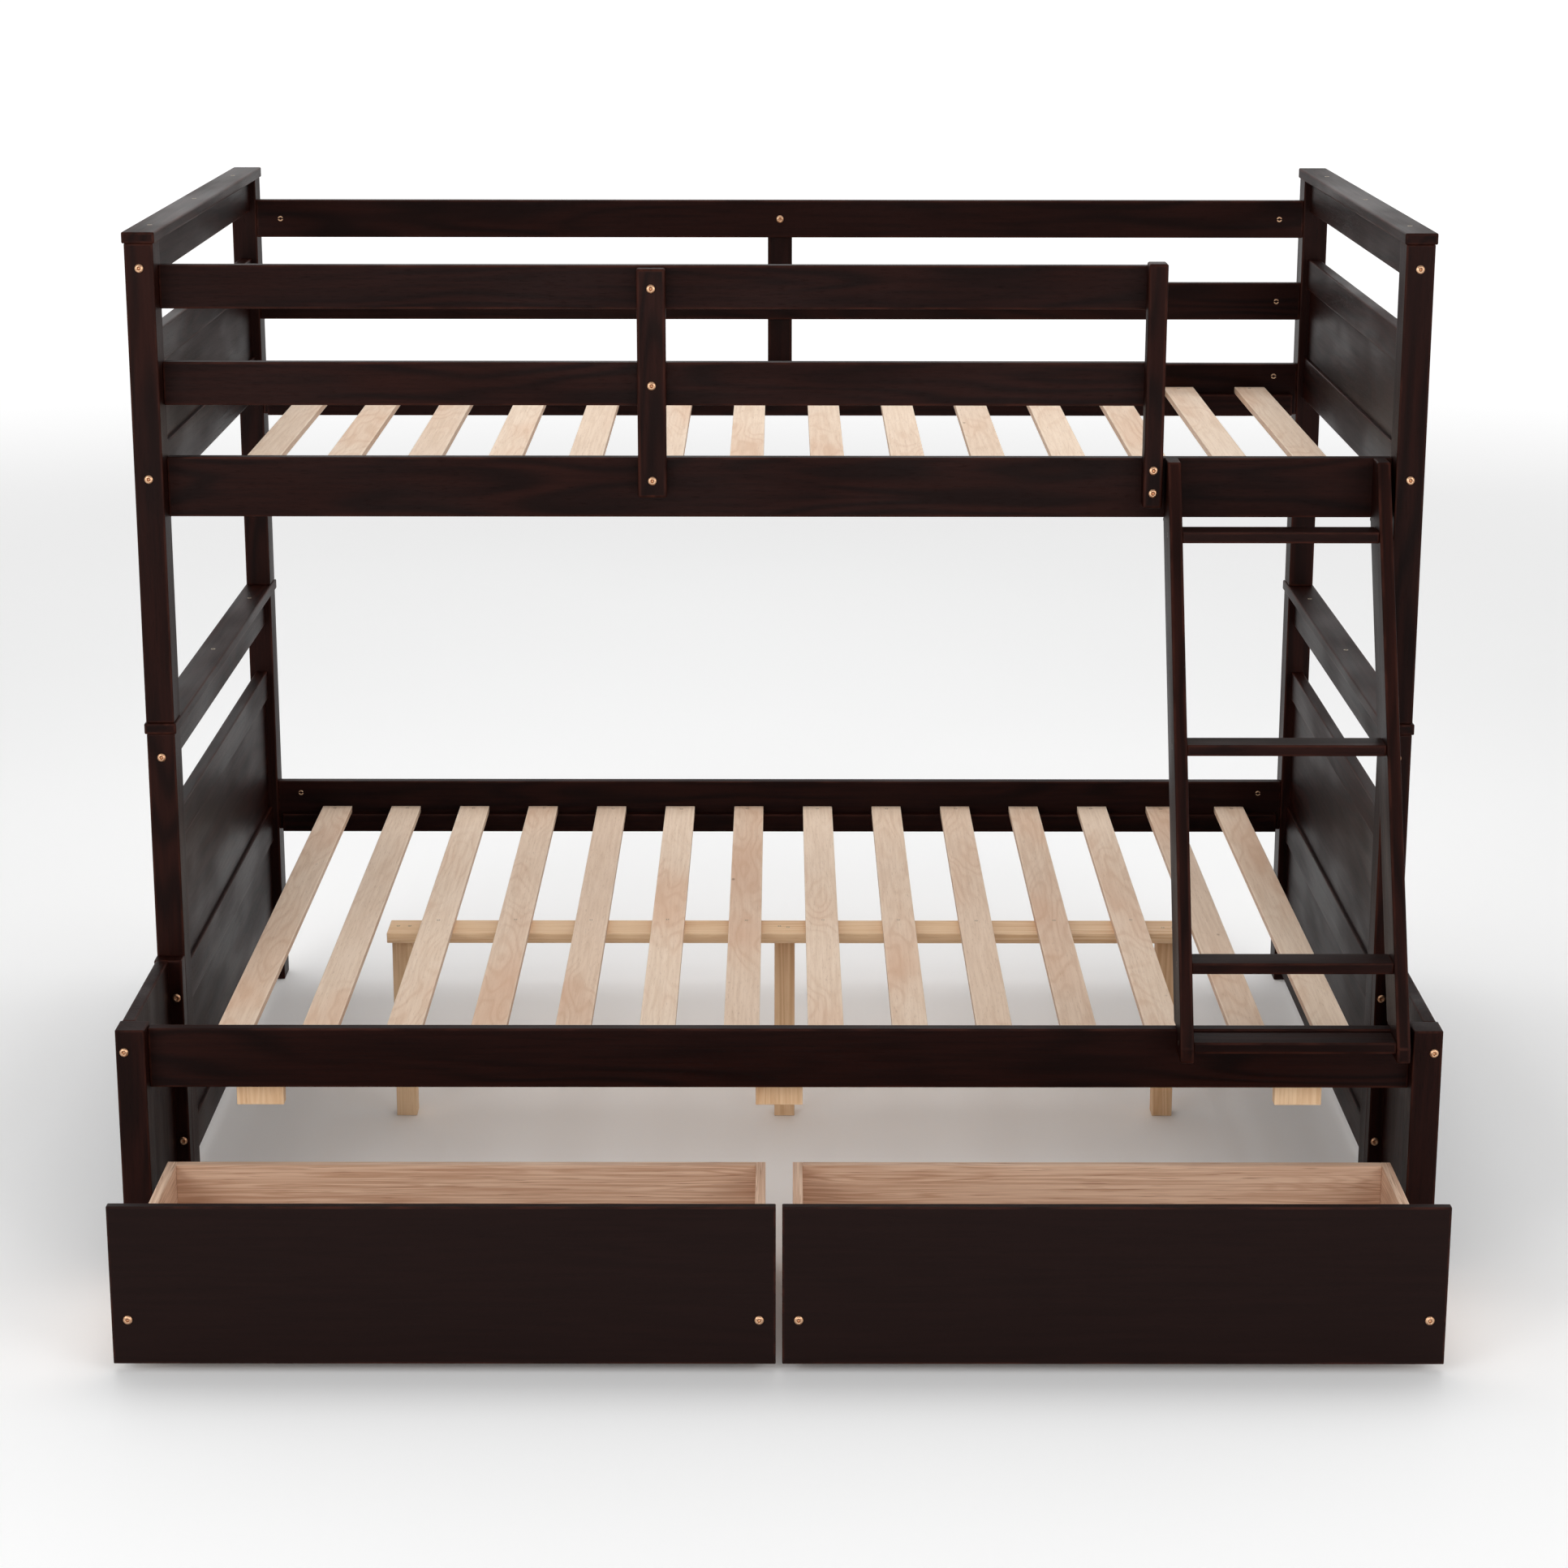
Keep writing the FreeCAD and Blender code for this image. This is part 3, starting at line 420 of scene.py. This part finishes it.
steelLook = dict(
    base=colour(182, 184, 188), patch=colour(150, 152, 158), edge=colour(225, 226, 230),
    toneDark=(0.9, 0.9, 0.9, 1), wear=0.4,
    patchScale=160.0, scratchScale=1500.0, roughLow=0.28, roughHigh=0.45, metal=1.0, bump=0.2)
wheelLook = dict(
    base=colour(44, 44, 46), patch=colour(34, 34, 36), edge=colour(78, 78, 82),
    toneDark=(0.9, 0.9, 0.9, 1), wear=0.4,
    patchScale=90.0, scratchScale=900.0, roughLow=0.42, roughHigh=0.58, metal=0.0, bump=0.25)

surfaces = dict(
    espresso_wood=woodSurface("espressoStainedWood", espressoLook),
    slat_wood=woodSurface("paleSlatPlywood", slatLook),
    pine=woodSurface("rawPine", pineLook),
    drawer_board=woodSurface("oakFoilBoard", drawerLook),
    drawer_bottom=woodSurface("oakFoilHardboard", bottomLook),
    brass=metalSurface("brassPlatedBolt", brassLook),
    caster_steel=metalSurface("zincPlatedSteel", steelLook),
    caster_wheel=metalSurface("darkWheelPlastic", wheelLook),
)
paintedFront = woodSurface("espressoPaintedFront", paintedLook)
plainScrew = metalSurface("zincScrew", screwLook)
slatScrew = metalSurface("dullSlatScrew", slatScrewLook)
darkScrew = metalSurface("darkenedScrew", darkScrewLook)
print("finishes ready:", len(bpy.data.materials))


boardLook = dict(
    edgeRadius=dict(espresso_wood=0.0016, slat_wood=0.0009, pine=0.0012, drawer_board=0.0006,
                    drawer_bottom=0.0004),
    capRadius=0.0022,      # the cap boards are rounded more
    roundedEnds=("guard_batten_front", "guard_end_upright", "guard_batten_back"),
    roundedRadius=0.0032,
    gap=0.00008,           # a hair's breadth between boards that touch
    capDrop=0.0003,        # how far the cap boards lie under their screw heads
)
woodSlots = ("espresso_wood", "slat_wood", "pine", "drawer_board", "drawer_bottom")
special = ("ladder_side_left", "ladder_side_right", "drawer_box_left", "drawer_box_right")


def makeBoards(node):
    slotName = slotOf[node]
    radius = boardLook["edgeRadius"][slotName]
    if node.startswith("cap_"):
        radius = boardLook["capRadius"]
    if node in boardLook["roundedEnds"]:
        radius = boardLook["roundedRadius"]
    build = Build(node + "_boards", seedOf(node))
    for points, _, _ in solidsOf(node):
        low, high = points.min(axis=0) + boardLook["gap"], points.max(axis=0) - boardLook["gap"]
        if node.startswith("cap_"):
            high[2] -= boardLook["capDrop"]
        build.addBoard(low, high, radius)
    surface = paintedFront if node.startswith("drawer_front") else surfaces[slotName]
    return build.finish(bodyOf[node], surface, slotName, node)


for node in sorted(frame["nodes"]):
    if slotOf[node] in woodSlots and node not in special:
        makeBoards(node)
print("boards made")

# The two leaning ladder boards, with their plumb and level cuts.
ladderLook = dict(edgeRadius=0.0022, flat=0.003)


def makeLadderSide(node):
    outline = outlineAlongX(node)
    low, high = (np.array(corner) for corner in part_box(node))
    sides = np.roll(outline, -1, axis=0) - outline
    longest = sides[np.argmax((sides ** 2).sum(axis=1))]
    lean = longest / np.linalg.norm(longest)
    lean = lean * np.sign(lean[1])
    grainAxes = [[0, lean[0], lean[1]], [0, lean[1], -lean[0]], [1, 0, 0]]
    build = Build(node + "_board", seedOf(node))
    build.addPrism(outline, low[0], high[0], np.eye(3)[[1, 2, 0]], grainAxes,
                   ladderLook["edgeRadius"], ladderLook["flat"])
    return build.finish(bodyOf[node], surfaces["espresso_wood"], "espresso_wood", node)


for node in ("ladder_side_left", "ladder_side_right"):
    makeLadderSide(node)

# The drawer boxes: two sides and a back, all one height.
boxLook = dict(wall=0.015, edgeRadius=0.0006, gap=0.00005)


def makeDrawerBox(side):
    node = "drawer_box_" + side
    low, high = (np.array(corner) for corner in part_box(node))
    wall = boxLook["wall"]
    build = Build(node + "_boards", seedOf(node))
    walls = [(low, np.array([low[0] + wall, high[1], high[2]])),
             (np.array([high[0] - wall, low[1], low[2]]), high),
             (np.array([low[0] + wall, high[1] - wall, low[2]]),
              np.array([high[0] - wall, high[1], high[2]]))]
    for lowCorner, highCorner in walls:
        build.addBoard(lowCorner + boxLook["gap"], highCorner - boxLook["gap"], boxLook["edgeRadius"])
    return build.finish(bodyOf[node], surfaces["drawer_board"], "drawer_board", node)


for side in ("left", "right"):
    makeDrawerBox(side)
print("ladder and drawer boxes made")


def lathe(profile, around, hexPart=None, turn=0.0):
    # a profile of radius and height carried round an axis; where hexPart is 1 the radius follows a hexagon
    angle = np.linspace(0, 2 * math.pi, around, endpoint=False) + turn
    hexagon = math.cos(math.pi / 6) / np.cos((angle - turn + math.pi / 6) % (math.pi / 3) - math.pi / 6)
    hexPart = np.zeros(len(profile)) if hexPart is None else np.array(hexPart)
    profile = np.array(profile)
    radius = profile[:, :1] * (1 + hexPart[:, None] * (hexagon[None] - 1))
    return np.stack([radius * np.cos(angle), radius * np.sin(angle),
                     np.repeat(profile[:, 1:], around, axis=1)], axis=-1)


def turnedPart(build, profile, axis, origin, around, hexPart=None, turn=0.0, worn=None, shape=None):
    # the profile runs from the axis up and back to the axis; axis points along growing height
    rings = lathe(profile, around, hexPart, turn)
    if shape is not None:
        rings = shape(rings)
    axis = np.array(axis, dtype=float)
    helper = np.array([0.0, 0.0, 1.0]) if abs(axis[2]) < 0.5 else np.array([1.0, 0.0, 0.0])
    u = np.cross(helper, axis)
    v = np.cross(axis, u)
    points = (rings[..., :1] * u + rings[..., 1:2] * v + rings[..., 2:] * axis).reshape(-1, 3) + origin
    wornAll = None if worn is None else np.repeat(np.array(worn, dtype=float), around)
    build.add(points, ringFaces(len(profile), around), worn=wornAll)


boltLook = dict(headRadius=0.0070, headHeight=0.0035, socket=0.0021, socketDepth=0.0021, shankRadius=0.0029,
                rim=0.0008, domeSweep=74, domePower=0.8, domeRings=6, around=24)
screwShape = dict(headRadius=0.0040, shankRadius=0.0019, tipRadius=0.0006, tipLength=0.004, cone=0.0016,
                  crossWidth=0.0008, crossReach=0.0025, crossDepth=0.0011, proud=0.0002, sunk=0.001,
                  faceRings=(0.78, 0.66, 0.54, 0.42, 0.30, 0.20, 0.10, 0.03), around=24)
nutLook = dict(radius=0.00475, chamfer=0.0006, slotWidth=0.0009, slotDepth=0.0012, bore=0.0027, proud=0.00025,
               faceRings=(0.84, 0.76, 0.68), around=48)


def boltProfile(length):
    # shank end, shank, flat under the head, then a dome: radius falls as a power of the cosine while
    # height grows as the sine; then the socket's rim and its hexagonal walls
    r, h, s = boltLook["headRadius"], boltLook["headHeight"], boltLook["shankRadius"]
    dome = np.linspace(0, 1, boltLook["domeRings"]) * math.radians(boltLook["domeSweep"])
    rise = boltLook["rim"]
    domeRadius = r * np.cos(dome) ** boltLook["domePower"]
    domeHeight = rise + (h - rise) * np.sin(dome) / math.sin(dome[-1])
    socket, depth = boltLook["socket"], boltLook["socketDepth"]
    rows = [(s * 0.6, -length), (s, -length + 0.0012), (s, -0.0002), (r * 0.94, 0.00002), (r, 0.0002)]
    rows += list(zip(domeRadius, domeHeight))
    rows += [(socket * 1.35, h - 0.0001), (socket * 1.12, h - 0.0005), (socket * 1.1, h - depth),
             (socket * 0.25, h - depth - 0.0006)]
    hexPart = [0] * (5 + len(dome) + 1) + [1, 1, 1]
    worn = [0, 0, 0, 1, 1] + [0.2] * (len(dome) - 1) + [0.8, 1, 0, 0, 0]
    return rows, hexPart, worn


def crossRecess(look, top):
    # presses a cross into the head: deep where either arm's width covers the point
    def shape(rings):
        x, y = np.abs(rings[..., 0]), np.abs(rings[..., 1])
        arm = ((np.minimum(x, y) < look["crossWidth"]) & (np.maximum(x, y) < look["crossReach"]))
        onTop = rings[..., 2] > top - 0.0004
        rings[..., 2] -= np.where(arm & onTop, look["crossDepth"], 0)
        return rings
    return shape


def screwProfile(length, proud):
    # shank, cone under the head, chamfered rim, rings across the flat top for the cross
    r = screwShape["headRadius"]
    shank, tip = screwShape["shankRadius"], screwShape["tipRadius"]
    rows = [(tip, -length), (shank, -length + screwShape["tipLength"]), (shank, -screwShape["cone"]),
            (r * 0.96, -0.0001), (r, proud * 0.4), (r * 0.93, proud)]
    rows += [(r * part, proud + 0.00005) for part in screwShape["faceRings"]]
    return rows, [0, 0, 0, 0.6, 1, 1] + [0.3] * len(screwShape["faceRings"])


def nutProfile(length, proud):
    # a round barrel nut: chamfered rim, flat face and the mouth of its threaded bore
    r, c, b = nutLook["radius"], nutLook["chamfer"], nutLook["bore"]
    rows = [(r * 0.8, -length), (r, -length + c), (r, proud - c * 0.5), (r - c * 0.5, proud)]
    rows += [(r * part, proud) for part in nutLook["faceRings"]]
    rows += [(b, proud), (b * 0.8, proud - 0.0008), (b * 0.75, -0.004), (b * 0.2, -0.0045)]
    return rows, [0, 0, 1, 1, 0.2, 0.1, 0.2, 0.7, 0, 0, 0]


def slotAcross(look, proud):
    # a screwdriver slot: points on the face within the slot's half width go down
    def shape(rings):
        inside = (np.abs(rings[..., 1]) < look["slotWidth"]) & (rings[..., 2] > proud - 0.0001)
        rings[..., 2] -= np.where(inside, look["slotDepth"], 0)
        return rings
    return shape


def axisOf(points):
    # the solid's long way, and the end whose corners stand farther from the axis is the head
    low, high = points.min(axis=0), points.max(axis=0)
    long = int(np.argmax(high - low))
    middle = (low + high) / 2
    spread = np.linalg.norm(np.delete(points - middle, long, axis=1), axis=1)
    up = spread[np.abs(points[:, long] - high[long]) < 1e-4].max()
    down = spread[np.abs(points[:, long] - low[long]) < 1e-4].max()
    axis = np.zeros(3)
    axis[long] = 1 if up >= down else -1
    head = middle.copy()
    head[long] = high[long] if up >= down else low[long]
    return axis, head, (high - low)[long], abs(up - down) > 1e-4


def makeBolts(node):
    build = Build(node + "_turned", seedOf(node))
    for points, _, _ in solidsOf(node):
        axis, head, length, _ = axisOf(points)
        rows, hexPart, worn = boltProfile(length - boltLook["headHeight"])
        origin = head - axis * boltLook["headHeight"]
        turnedPart(build, rows, axis, origin, boltLook["around"], hexPart, build.chance.uniform(0, 1), worn)
    return build.finish(bodyOf[node], surfaces["brass"], "brass", node)


for node in ("frame_bolts", "drawer_bolts_left", "drawer_bolts_right"):
    makeBolts(node)


def makeScrews():
    # short barrels are cross nuts, the rest are screws; those in the ladder's outer faces are dark
    bright = Build("frame_screws_turned", 11)
    dark = Build("ladder_screws_turned", 12)
    nuts = Build("cross_nuts_turned", 13)
    for points, _, _ in solidsOf("frame_screws"):
        axis, head, length, headed = axisOf(points)
        if not headed:
            inner = -1.0 if head[1] > 0 else 1.0
            axis = np.array([0, inner, 0])
            head = (points.min(axis=0) + points.max(axis=0)) / 2
            head[1] = points[:, 1].min() if inner < 0 else points[:, 1].max()
            rows, worn = nutProfile(length, nutLook["proud"])
            turnedPart(nuts, rows, axis, head, nutLook["around"], None, nuts.chance.uniform(0, 1), worn,
                       shape=slotAcross(nutLook, nutLook["proud"]))
            continue
        upward = axis[2] > 0.5
        proud = screwShape["proud"]
        rows, worn = screwProfile(length - screwShape["sunk"], proud)
        place = head - axis * (proud + 0.0001 if upward else screwShape["sunk"])
        build = dark if abs(axis[0]) > 0.5 else bright
        turnedPart(build, rows, axis, place, screwShape["around"], None, build.chance.uniform(0, 1), worn,
                   shape=crossRecess(screwShape, proud))
    bright.finish("bed_frame", plainScrew, "brass", "frame_screws")
    dark.finish("bed_frame", darkScrew, "brass")
    nuts.finish("bed_frame", surfaces["brass"], "brass")


makeScrews()

# Small screws that hold the slats down, and three in the middle beam over its legs.
slatScrews = dict(endInset=0.018, scale=0.8, length=0.024, legHalfPitch=0.009, proud=0.00012, scatter=0.004,
                  around=16)


def makeSlatScrews():
    build = Build("slat_screws_turned", 21)
    beamLow, beamHigh = (np.array(corner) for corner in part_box("centre_beam"))
    spots = []
    for node in ("slats_upper", "slats_lower"):
        for points, _, _ in solidsOf(node):
            low, high = points.min(axis=0), points.max(axis=0)
            x = (low[0] + high[0]) / 2
            spots.append((x, low[1] + slatScrews["endInset"], high[2]))
            spots.append((x, high[1] - slatScrews["endInset"], high[2]))
            if node == "slats_lower" and beamLow[0] < x < beamHigh[0]:
                spots.append((x, (beamLow[1] + beamHigh[1]) / 2, high[2]))
    for points, _, _ in solidsOf("centre_legs"):
        middle = (points.min(axis=0) + points.max(axis=0)) / 2
        spots += [(middle[0] + side * slatScrews["legHalfPitch"], middle[1], beamHigh[2]) for side in (-1, 1)]
    for spot in spots:
        shift = build.chance.uniform(-slatScrews["scatter"], slatScrews["scatter"], 3) * (1, 1, 0)
        rows, worn = screwProfile(slatScrews["length"], slatScrews["proud"])
        rows = [(radius * slatScrews["scale"], height) for radius, height in rows]
        turnedPart(build, rows, (0, 0, 1), np.array(spot) + shift, slatScrews["around"], None,
                   build.chance.uniform(0, 1), worn, shape=crossRecess(screwShape, slatScrews["proud"]))
    build.finish("bed_frame", slatScrew, "brass")


makeSlatScrews()
print("fasteners made")

wheelShape = dict(shoulder=0.0022, recess=0.0028, hub=0.0078, bore=0.0031, tread=0.002, wornBand=0.003,
                  spokes=5, spokeRise=0.0016, spokeWidth=0.55, around=48)
forkShape = dict(sheet=0.0025, bend=0.005, footHalf=0.0085, topHalf=0.017, axleHeight=0.008, rivet=0.0046,
                 rivetAround=20, widenFrom=0.25, widenOver=0.5, widenPower=1.2)


def makeWheels(node):
    # tyre, rounded shoulders, dished sides and a raised hub round the bore, turned about X: a profile row's
    # offset is X, and its radius times the angle's cosine and sine is Y and Z. The spokes rise where the
    # cosine of five times the angle is high
    build = Build(node + "_turned", seedOf(node))
    for points, _, _ in solidsOf(node):
        low, high = points.min(axis=0), points.max(axis=0)
        middle = (low + high) / 2
        half, radius = (high[0] - low[0]) / 2, (high[2] - low[2]) / 2
        s, d = wheelShape["shoulder"], wheelShape["recess"]
        bend = np.linspace(0, math.pi / 2, 5)
        hub, bore, tread = wheelShape["hub"], wheelShape["bore"], wheelShape["tread"]
        side = [(bore, half), (hub - 0.0006, half), (hub, half - 0.0006), (hub + 0.0004, half - d),
                (radius * 0.72, half - d), (radius * 0.78, half - 0.0006), (radius * 0.80, half - 0.0002)]
        side += [(radius - s + s * math.sin(a), half - s + s * math.cos(a)) for a in bend]
        side[-1] = (radius - 0.00002, half - s)
        other = [(r, -h) for r, h in side[::-1]]
        rows = side + [(radius, tread), (radius, -tread)] + other + [(bore, -half + 0.0001)]
        rows = rows[::-1]
        angle = np.linspace(0, 2 * math.pi, wheelShape["around"], endpoint=False)
        profile = np.array(rows)
        web = np.where((profile[:, 0] > hub) & (profile[:, 0] < radius * 0.75), wheelShape["spokeRise"], 0.0)
        r = profile[:, :1] * np.ones_like(angle)
        onSpoke = np.cos(angle * wheelShape["spokes"]) > wheelShape["spokeWidth"]
        h = profile[:, 1:] + np.sign(profile[:, 1:]) * web[:, None] * onSpoke
        rings = np.stack([h, r * np.cos(angle), r * np.sin(angle)], axis=-1)
        around = len(angle)
        i, j = np.meshgrid(np.arange(len(rows)), np.arange(around), indexing="ij")
        ni, nj = (i + 1) % len(rows), (j + 1) % around
        quads = np.stack([i * around + j, i * around + nj, ni * around + nj, ni * around + j], axis=-1)
        worn = np.repeat((profile[:, 0] > radius - wheelShape["wornBand"]).astype(float) * 0.6, around)
        build.add(rings.reshape(-1, 3) + middle, quads.reshape(-1, 4).tolist(), worn=worn)
    return build.finish(bodyOf[node], surfaces["caster_wheel"], "caster_wheel", node)


def makeForks(side):
    # a strip follows an upside-down U: up one cheek, round a bend, across and down. Its half width grows with
    # height from foot to top, and a quarter ellipse rounds it off below the axle
    node = "drawer_casters_" + side
    build = Build(node + "_bent", seedOf(node))
    t, b = forkShape["sheet"], forkShape["bend"]
    for points, _, _ in solidsOf(node):
        low, high = points.min(axis=0), points.max(axis=0)
        middle = (low + high) / 2
        halfWidth, top, foot = (high[0] - low[0]) / 2 - t / 2, high[2] - t / 2, low[2]
        axle = foot + forkShape["axleHeight"]
        down = np.linspace(0, 1, 9)
        cheek = np.stack([np.full(9, -halfWidth), foot + (top - b - foot) * down], axis=1)
        turn = np.linspace(math.pi, math.pi / 2, 6)[1:]
        bend = np.stack([-halfWidth + b + b * np.cos(turn), top - b + b * np.sin(turn)], axis=1)
        path = np.concatenate([cheek, bend])
        path = np.concatenate([path, path[::-1] * (-1, 1)])
        step = np.gradient(path, axis=0)
        step /= np.linalg.norm(step, axis=1, keepdims=True)
        normal = np.stack([-step[:, 1], step[:, 0]], axis=1)
        height = np.clip((path[:, 1] - foot) / (top - foot), 0, 1)
        rounded = np.sqrt(np.clip(1 - np.clip((axle - path[:, 1]) / (axle - foot), 0, 1) ** 2, 0.04, 1))
        widening = np.clip((height - forkShape["widenFrom"]) / forkShape["widenOver"], 0, 1)
        widening = widening ** forkShape["widenPower"]
        half = (forkShape["footHalf"] + (forkShape["topHalf"] - forkShape["footHalf"]) * widening) * rounded
        across = np.array([-1.0, -0.96, 0.0, 0.96, 1.0])
        thin = np.array([0.5, 1.0, 1.0, 1.0, 0.5])
        outer = path[:, None] + normal[:, None] * (t / 2 * thin)[None, :, None]
        inner = path[:, None] - normal[:, None] * (t / 2 * thin)[None, :, None]
        y = half[:, None] * across[None]
        ring = np.concatenate([np.stack([outer[..., 0], y, outer[..., 1]], axis=-1),
                               np.stack([inner[..., 0], y, inner[..., 1]], axis=-1)[:, ::-1]], axis=1)
        strip = ring.reshape(-1, 3) + (middle[0], middle[1], 0)
        strip[:, 2] = np.clip(strip[:, 2], low[2], high[2])
        worn = np.tile([1.0, 0.6, 0, 0.6, 1.0] * 2, len(path))
        build.add(strip, ringFaces(len(path), ring.shape[1]), worn=worn)
        for way in (-1, 1):
            r = forkShape["rivet"]
            face = np.array([middle[0] + way * (halfWidth + t / 2 - 0.0006), middle[1], axle])
            rows = [(0.0028, -0.0045), (0.0028, 0.0), (r, 0.0), (r, 0.0002), (r * 0.8, 0.0004),
                    (r * 0.3, 0.0006)]
            turnedPart(build, rows, (way, 0, 0), face, forkShape["rivetAround"],
                       worn=[0, 0, 1, 1, 0.3, 0])
    return build.finish(bodyOf[node], surfaces["caster_steel"], "caster_steel", node)


for side in ("left", "right"):
    makeForks(side)
    for end in ("front", "back"):
        makeWheels(f"drawer_wheels_{end}_{side}")
print("casters made")

roomLook = dict(
    floorHalf=70.0, floorDrop=0.0004, floorAround=64, floorRings=10, floorRough=0.75, floorShine=0.2,
    cloudScale=0.8, cloudDetail=(2.0, 0.5), horizonFrom=0.02, horizonTo=0.22,
    floorPale=(0.975, 0.975, 0.975, 1), floorColour=(0.955, 0.955, 0.955, 1),
    paintedFarGlow=0.50, glowFrom=3.0, glowTo=11.0, skyStrength=0.60, horizonStrength=1.0)
lightLook = dict(
    overhead=dict(place=(0.0, 1.2, 4.2), aim=(0.0, 0.0, 0.6), size=(4.5, 3.0), power=74),
    frontLeft=dict(place=(-3.6, -4.6, 2.4), aim=(0.0, 0.0, 0.5), size=(2.4, 2.4), power=70),
    frontRight=dict(place=(3.8, -4.4, 2.3), aim=(0.0, 0.0, 0.5), size=(2.4, 2.4), power=56),
    lowFront=dict(place=(0.0, -6.2, 1.0), aim=(0.0, 0.0, 0.3), size=(4.0, 1.0), power=60),
    behind=dict(place=(0.0, 5.0, 3.0), aim=(0.0, 0.0, 0.9), size=(5.0, 2.0), power=26),
)
cameraLook = dict(place=(0.0011, -5.5998, 2.1270), down=14.96, right=0.05, roll=-0.06, lens=80.09,
                  sensor=36.0)


def makeFloor():
    # a wide flat disc of rings whose radius grows as a square; far off it carries a painted glow
    around, rings = roomLook["floorAround"], roomLook["floorRings"]
    angle = np.linspace(0, 2 * math.pi, around, endpoint=False)
    radius = roomLook["floorHalf"] * np.linspace(0.02, 1, rings) ** 2
    points = np.stack([radius[:, None] * np.cos(angle), radius[:, None] * np.sin(angle),
                       np.zeros((rings, around)) - roomLook["floorDrop"]], axis=-1)
    mesh = bpy.data.meshes.new("floor")
    faces = ringFaces(rings, around)
    turned = [face[::-1] for face in faces[:-1]]
    mesh.from_pydata(points.reshape(-1, 3).tolist(), [], turned)
    mesh.update()
    surface, tree, shader = startSurface("paleFloorPaintedGlow")
    place = addNode(tree, "TexCoord").outputs["Object"]
    cloudy = noiseOf(tree, place, roomLook["cloudScale"], *roomLook["cloudDetail"])
    base = blendOf(tree, cloudy, roomLook["floorColour"], roomLook["floorPale"])
    tree.links.new(base, shader.inputs["Base Color"])
    # painted glow: the floor itself emits white light, rising from glowFrom to glowTo metres out, so the far
    # floor reads white
    far = addNode(tree, "VectorMath", {0: place}, operation="LENGTH").outputs["Value"]
    glow = rangeOf(tree, far, roomLook["glowFrom"], roomLook["glowTo"], 0.0, roomLook["paintedFarGlow"])
    tree.links.new(glow, shader.inputs["Emission Strength"])
    shader.inputs["Emission Color"].default_value = (1, 1, 1, 1)
    shader.inputs["Roughness"].default_value = roomLook["floorRough"]
    shader.inputs["Specular IOR Level"].default_value = roomLook["floorShine"]
    mesh.materials.append(surface)
    floor = bpy.data.objects.new("floor", mesh)
    bpy.context.scene.collection.objects.link(floor)


def makeLights():
    # soft rectangular lamps that face their aims, and a white world that is brighter towards the horizon
    for name, look in lightLook.items():
        lamp = bpy.data.lights.new(name, "AREA")
        lamp.shape, lamp.size, lamp.size_y, lamp.energy = "RECTANGLE", *look["size"], look["power"]
        holder = bpy.data.objects.new(name, lamp)
        holder.location = look["place"]
        way = Vector(look["aim"]) - Vector(look["place"])
        holder.rotation_euler = way.to_track_quat("-Z", "Y").to_euler()
        bpy.context.scene.collection.objects.link(holder)
    world = bpy.data.worlds.new("studio")
    world.use_nodes = True
    world.node_tree.nodes["Background"].inputs["Color"].default_value = (1, 1, 1, 1)
    tree = world.node_tree
    height = addNode(tree, "SeparateXYZ", {0: addNode(tree, "TexCoord").outputs["Generated"]}).outputs[2]
    glow = rangeOf(tree, height, roomLook["horizonFrom"], roomLook["horizonTo"],
                   roomLook["horizonStrength"], roomLook["skyStrength"])
    tree.links.new(glow, tree.nodes["Background"].inputs["Strength"])
    bpy.context.scene.world = world
    bpy.context.scene.view_settings.view_transform = "Standard"


def makeCamera():
    # level, then tipped down; the turn to the right is about Z
    lens = bpy.data.cameras.new("camera")
    lens.lens, lens.sensor_width, lens.clip_end = cameraLook["lens"], cameraLook["sensor"], 200
    holder = bpy.data.objects.new("camera", lens)
    holder.location = cameraLook["place"]
    turns = (90 - cameraLook["down"], cameraLook["roll"], -cameraLook["right"])
    holder.rotation_euler = [math.radians(turn) for turn in turns]
    bpy.context.scene.collection.objects.link(holder)
    bpy.context.scene.camera = holder


makeFloor()
makeLights()
makeCamera()
print("room ready")
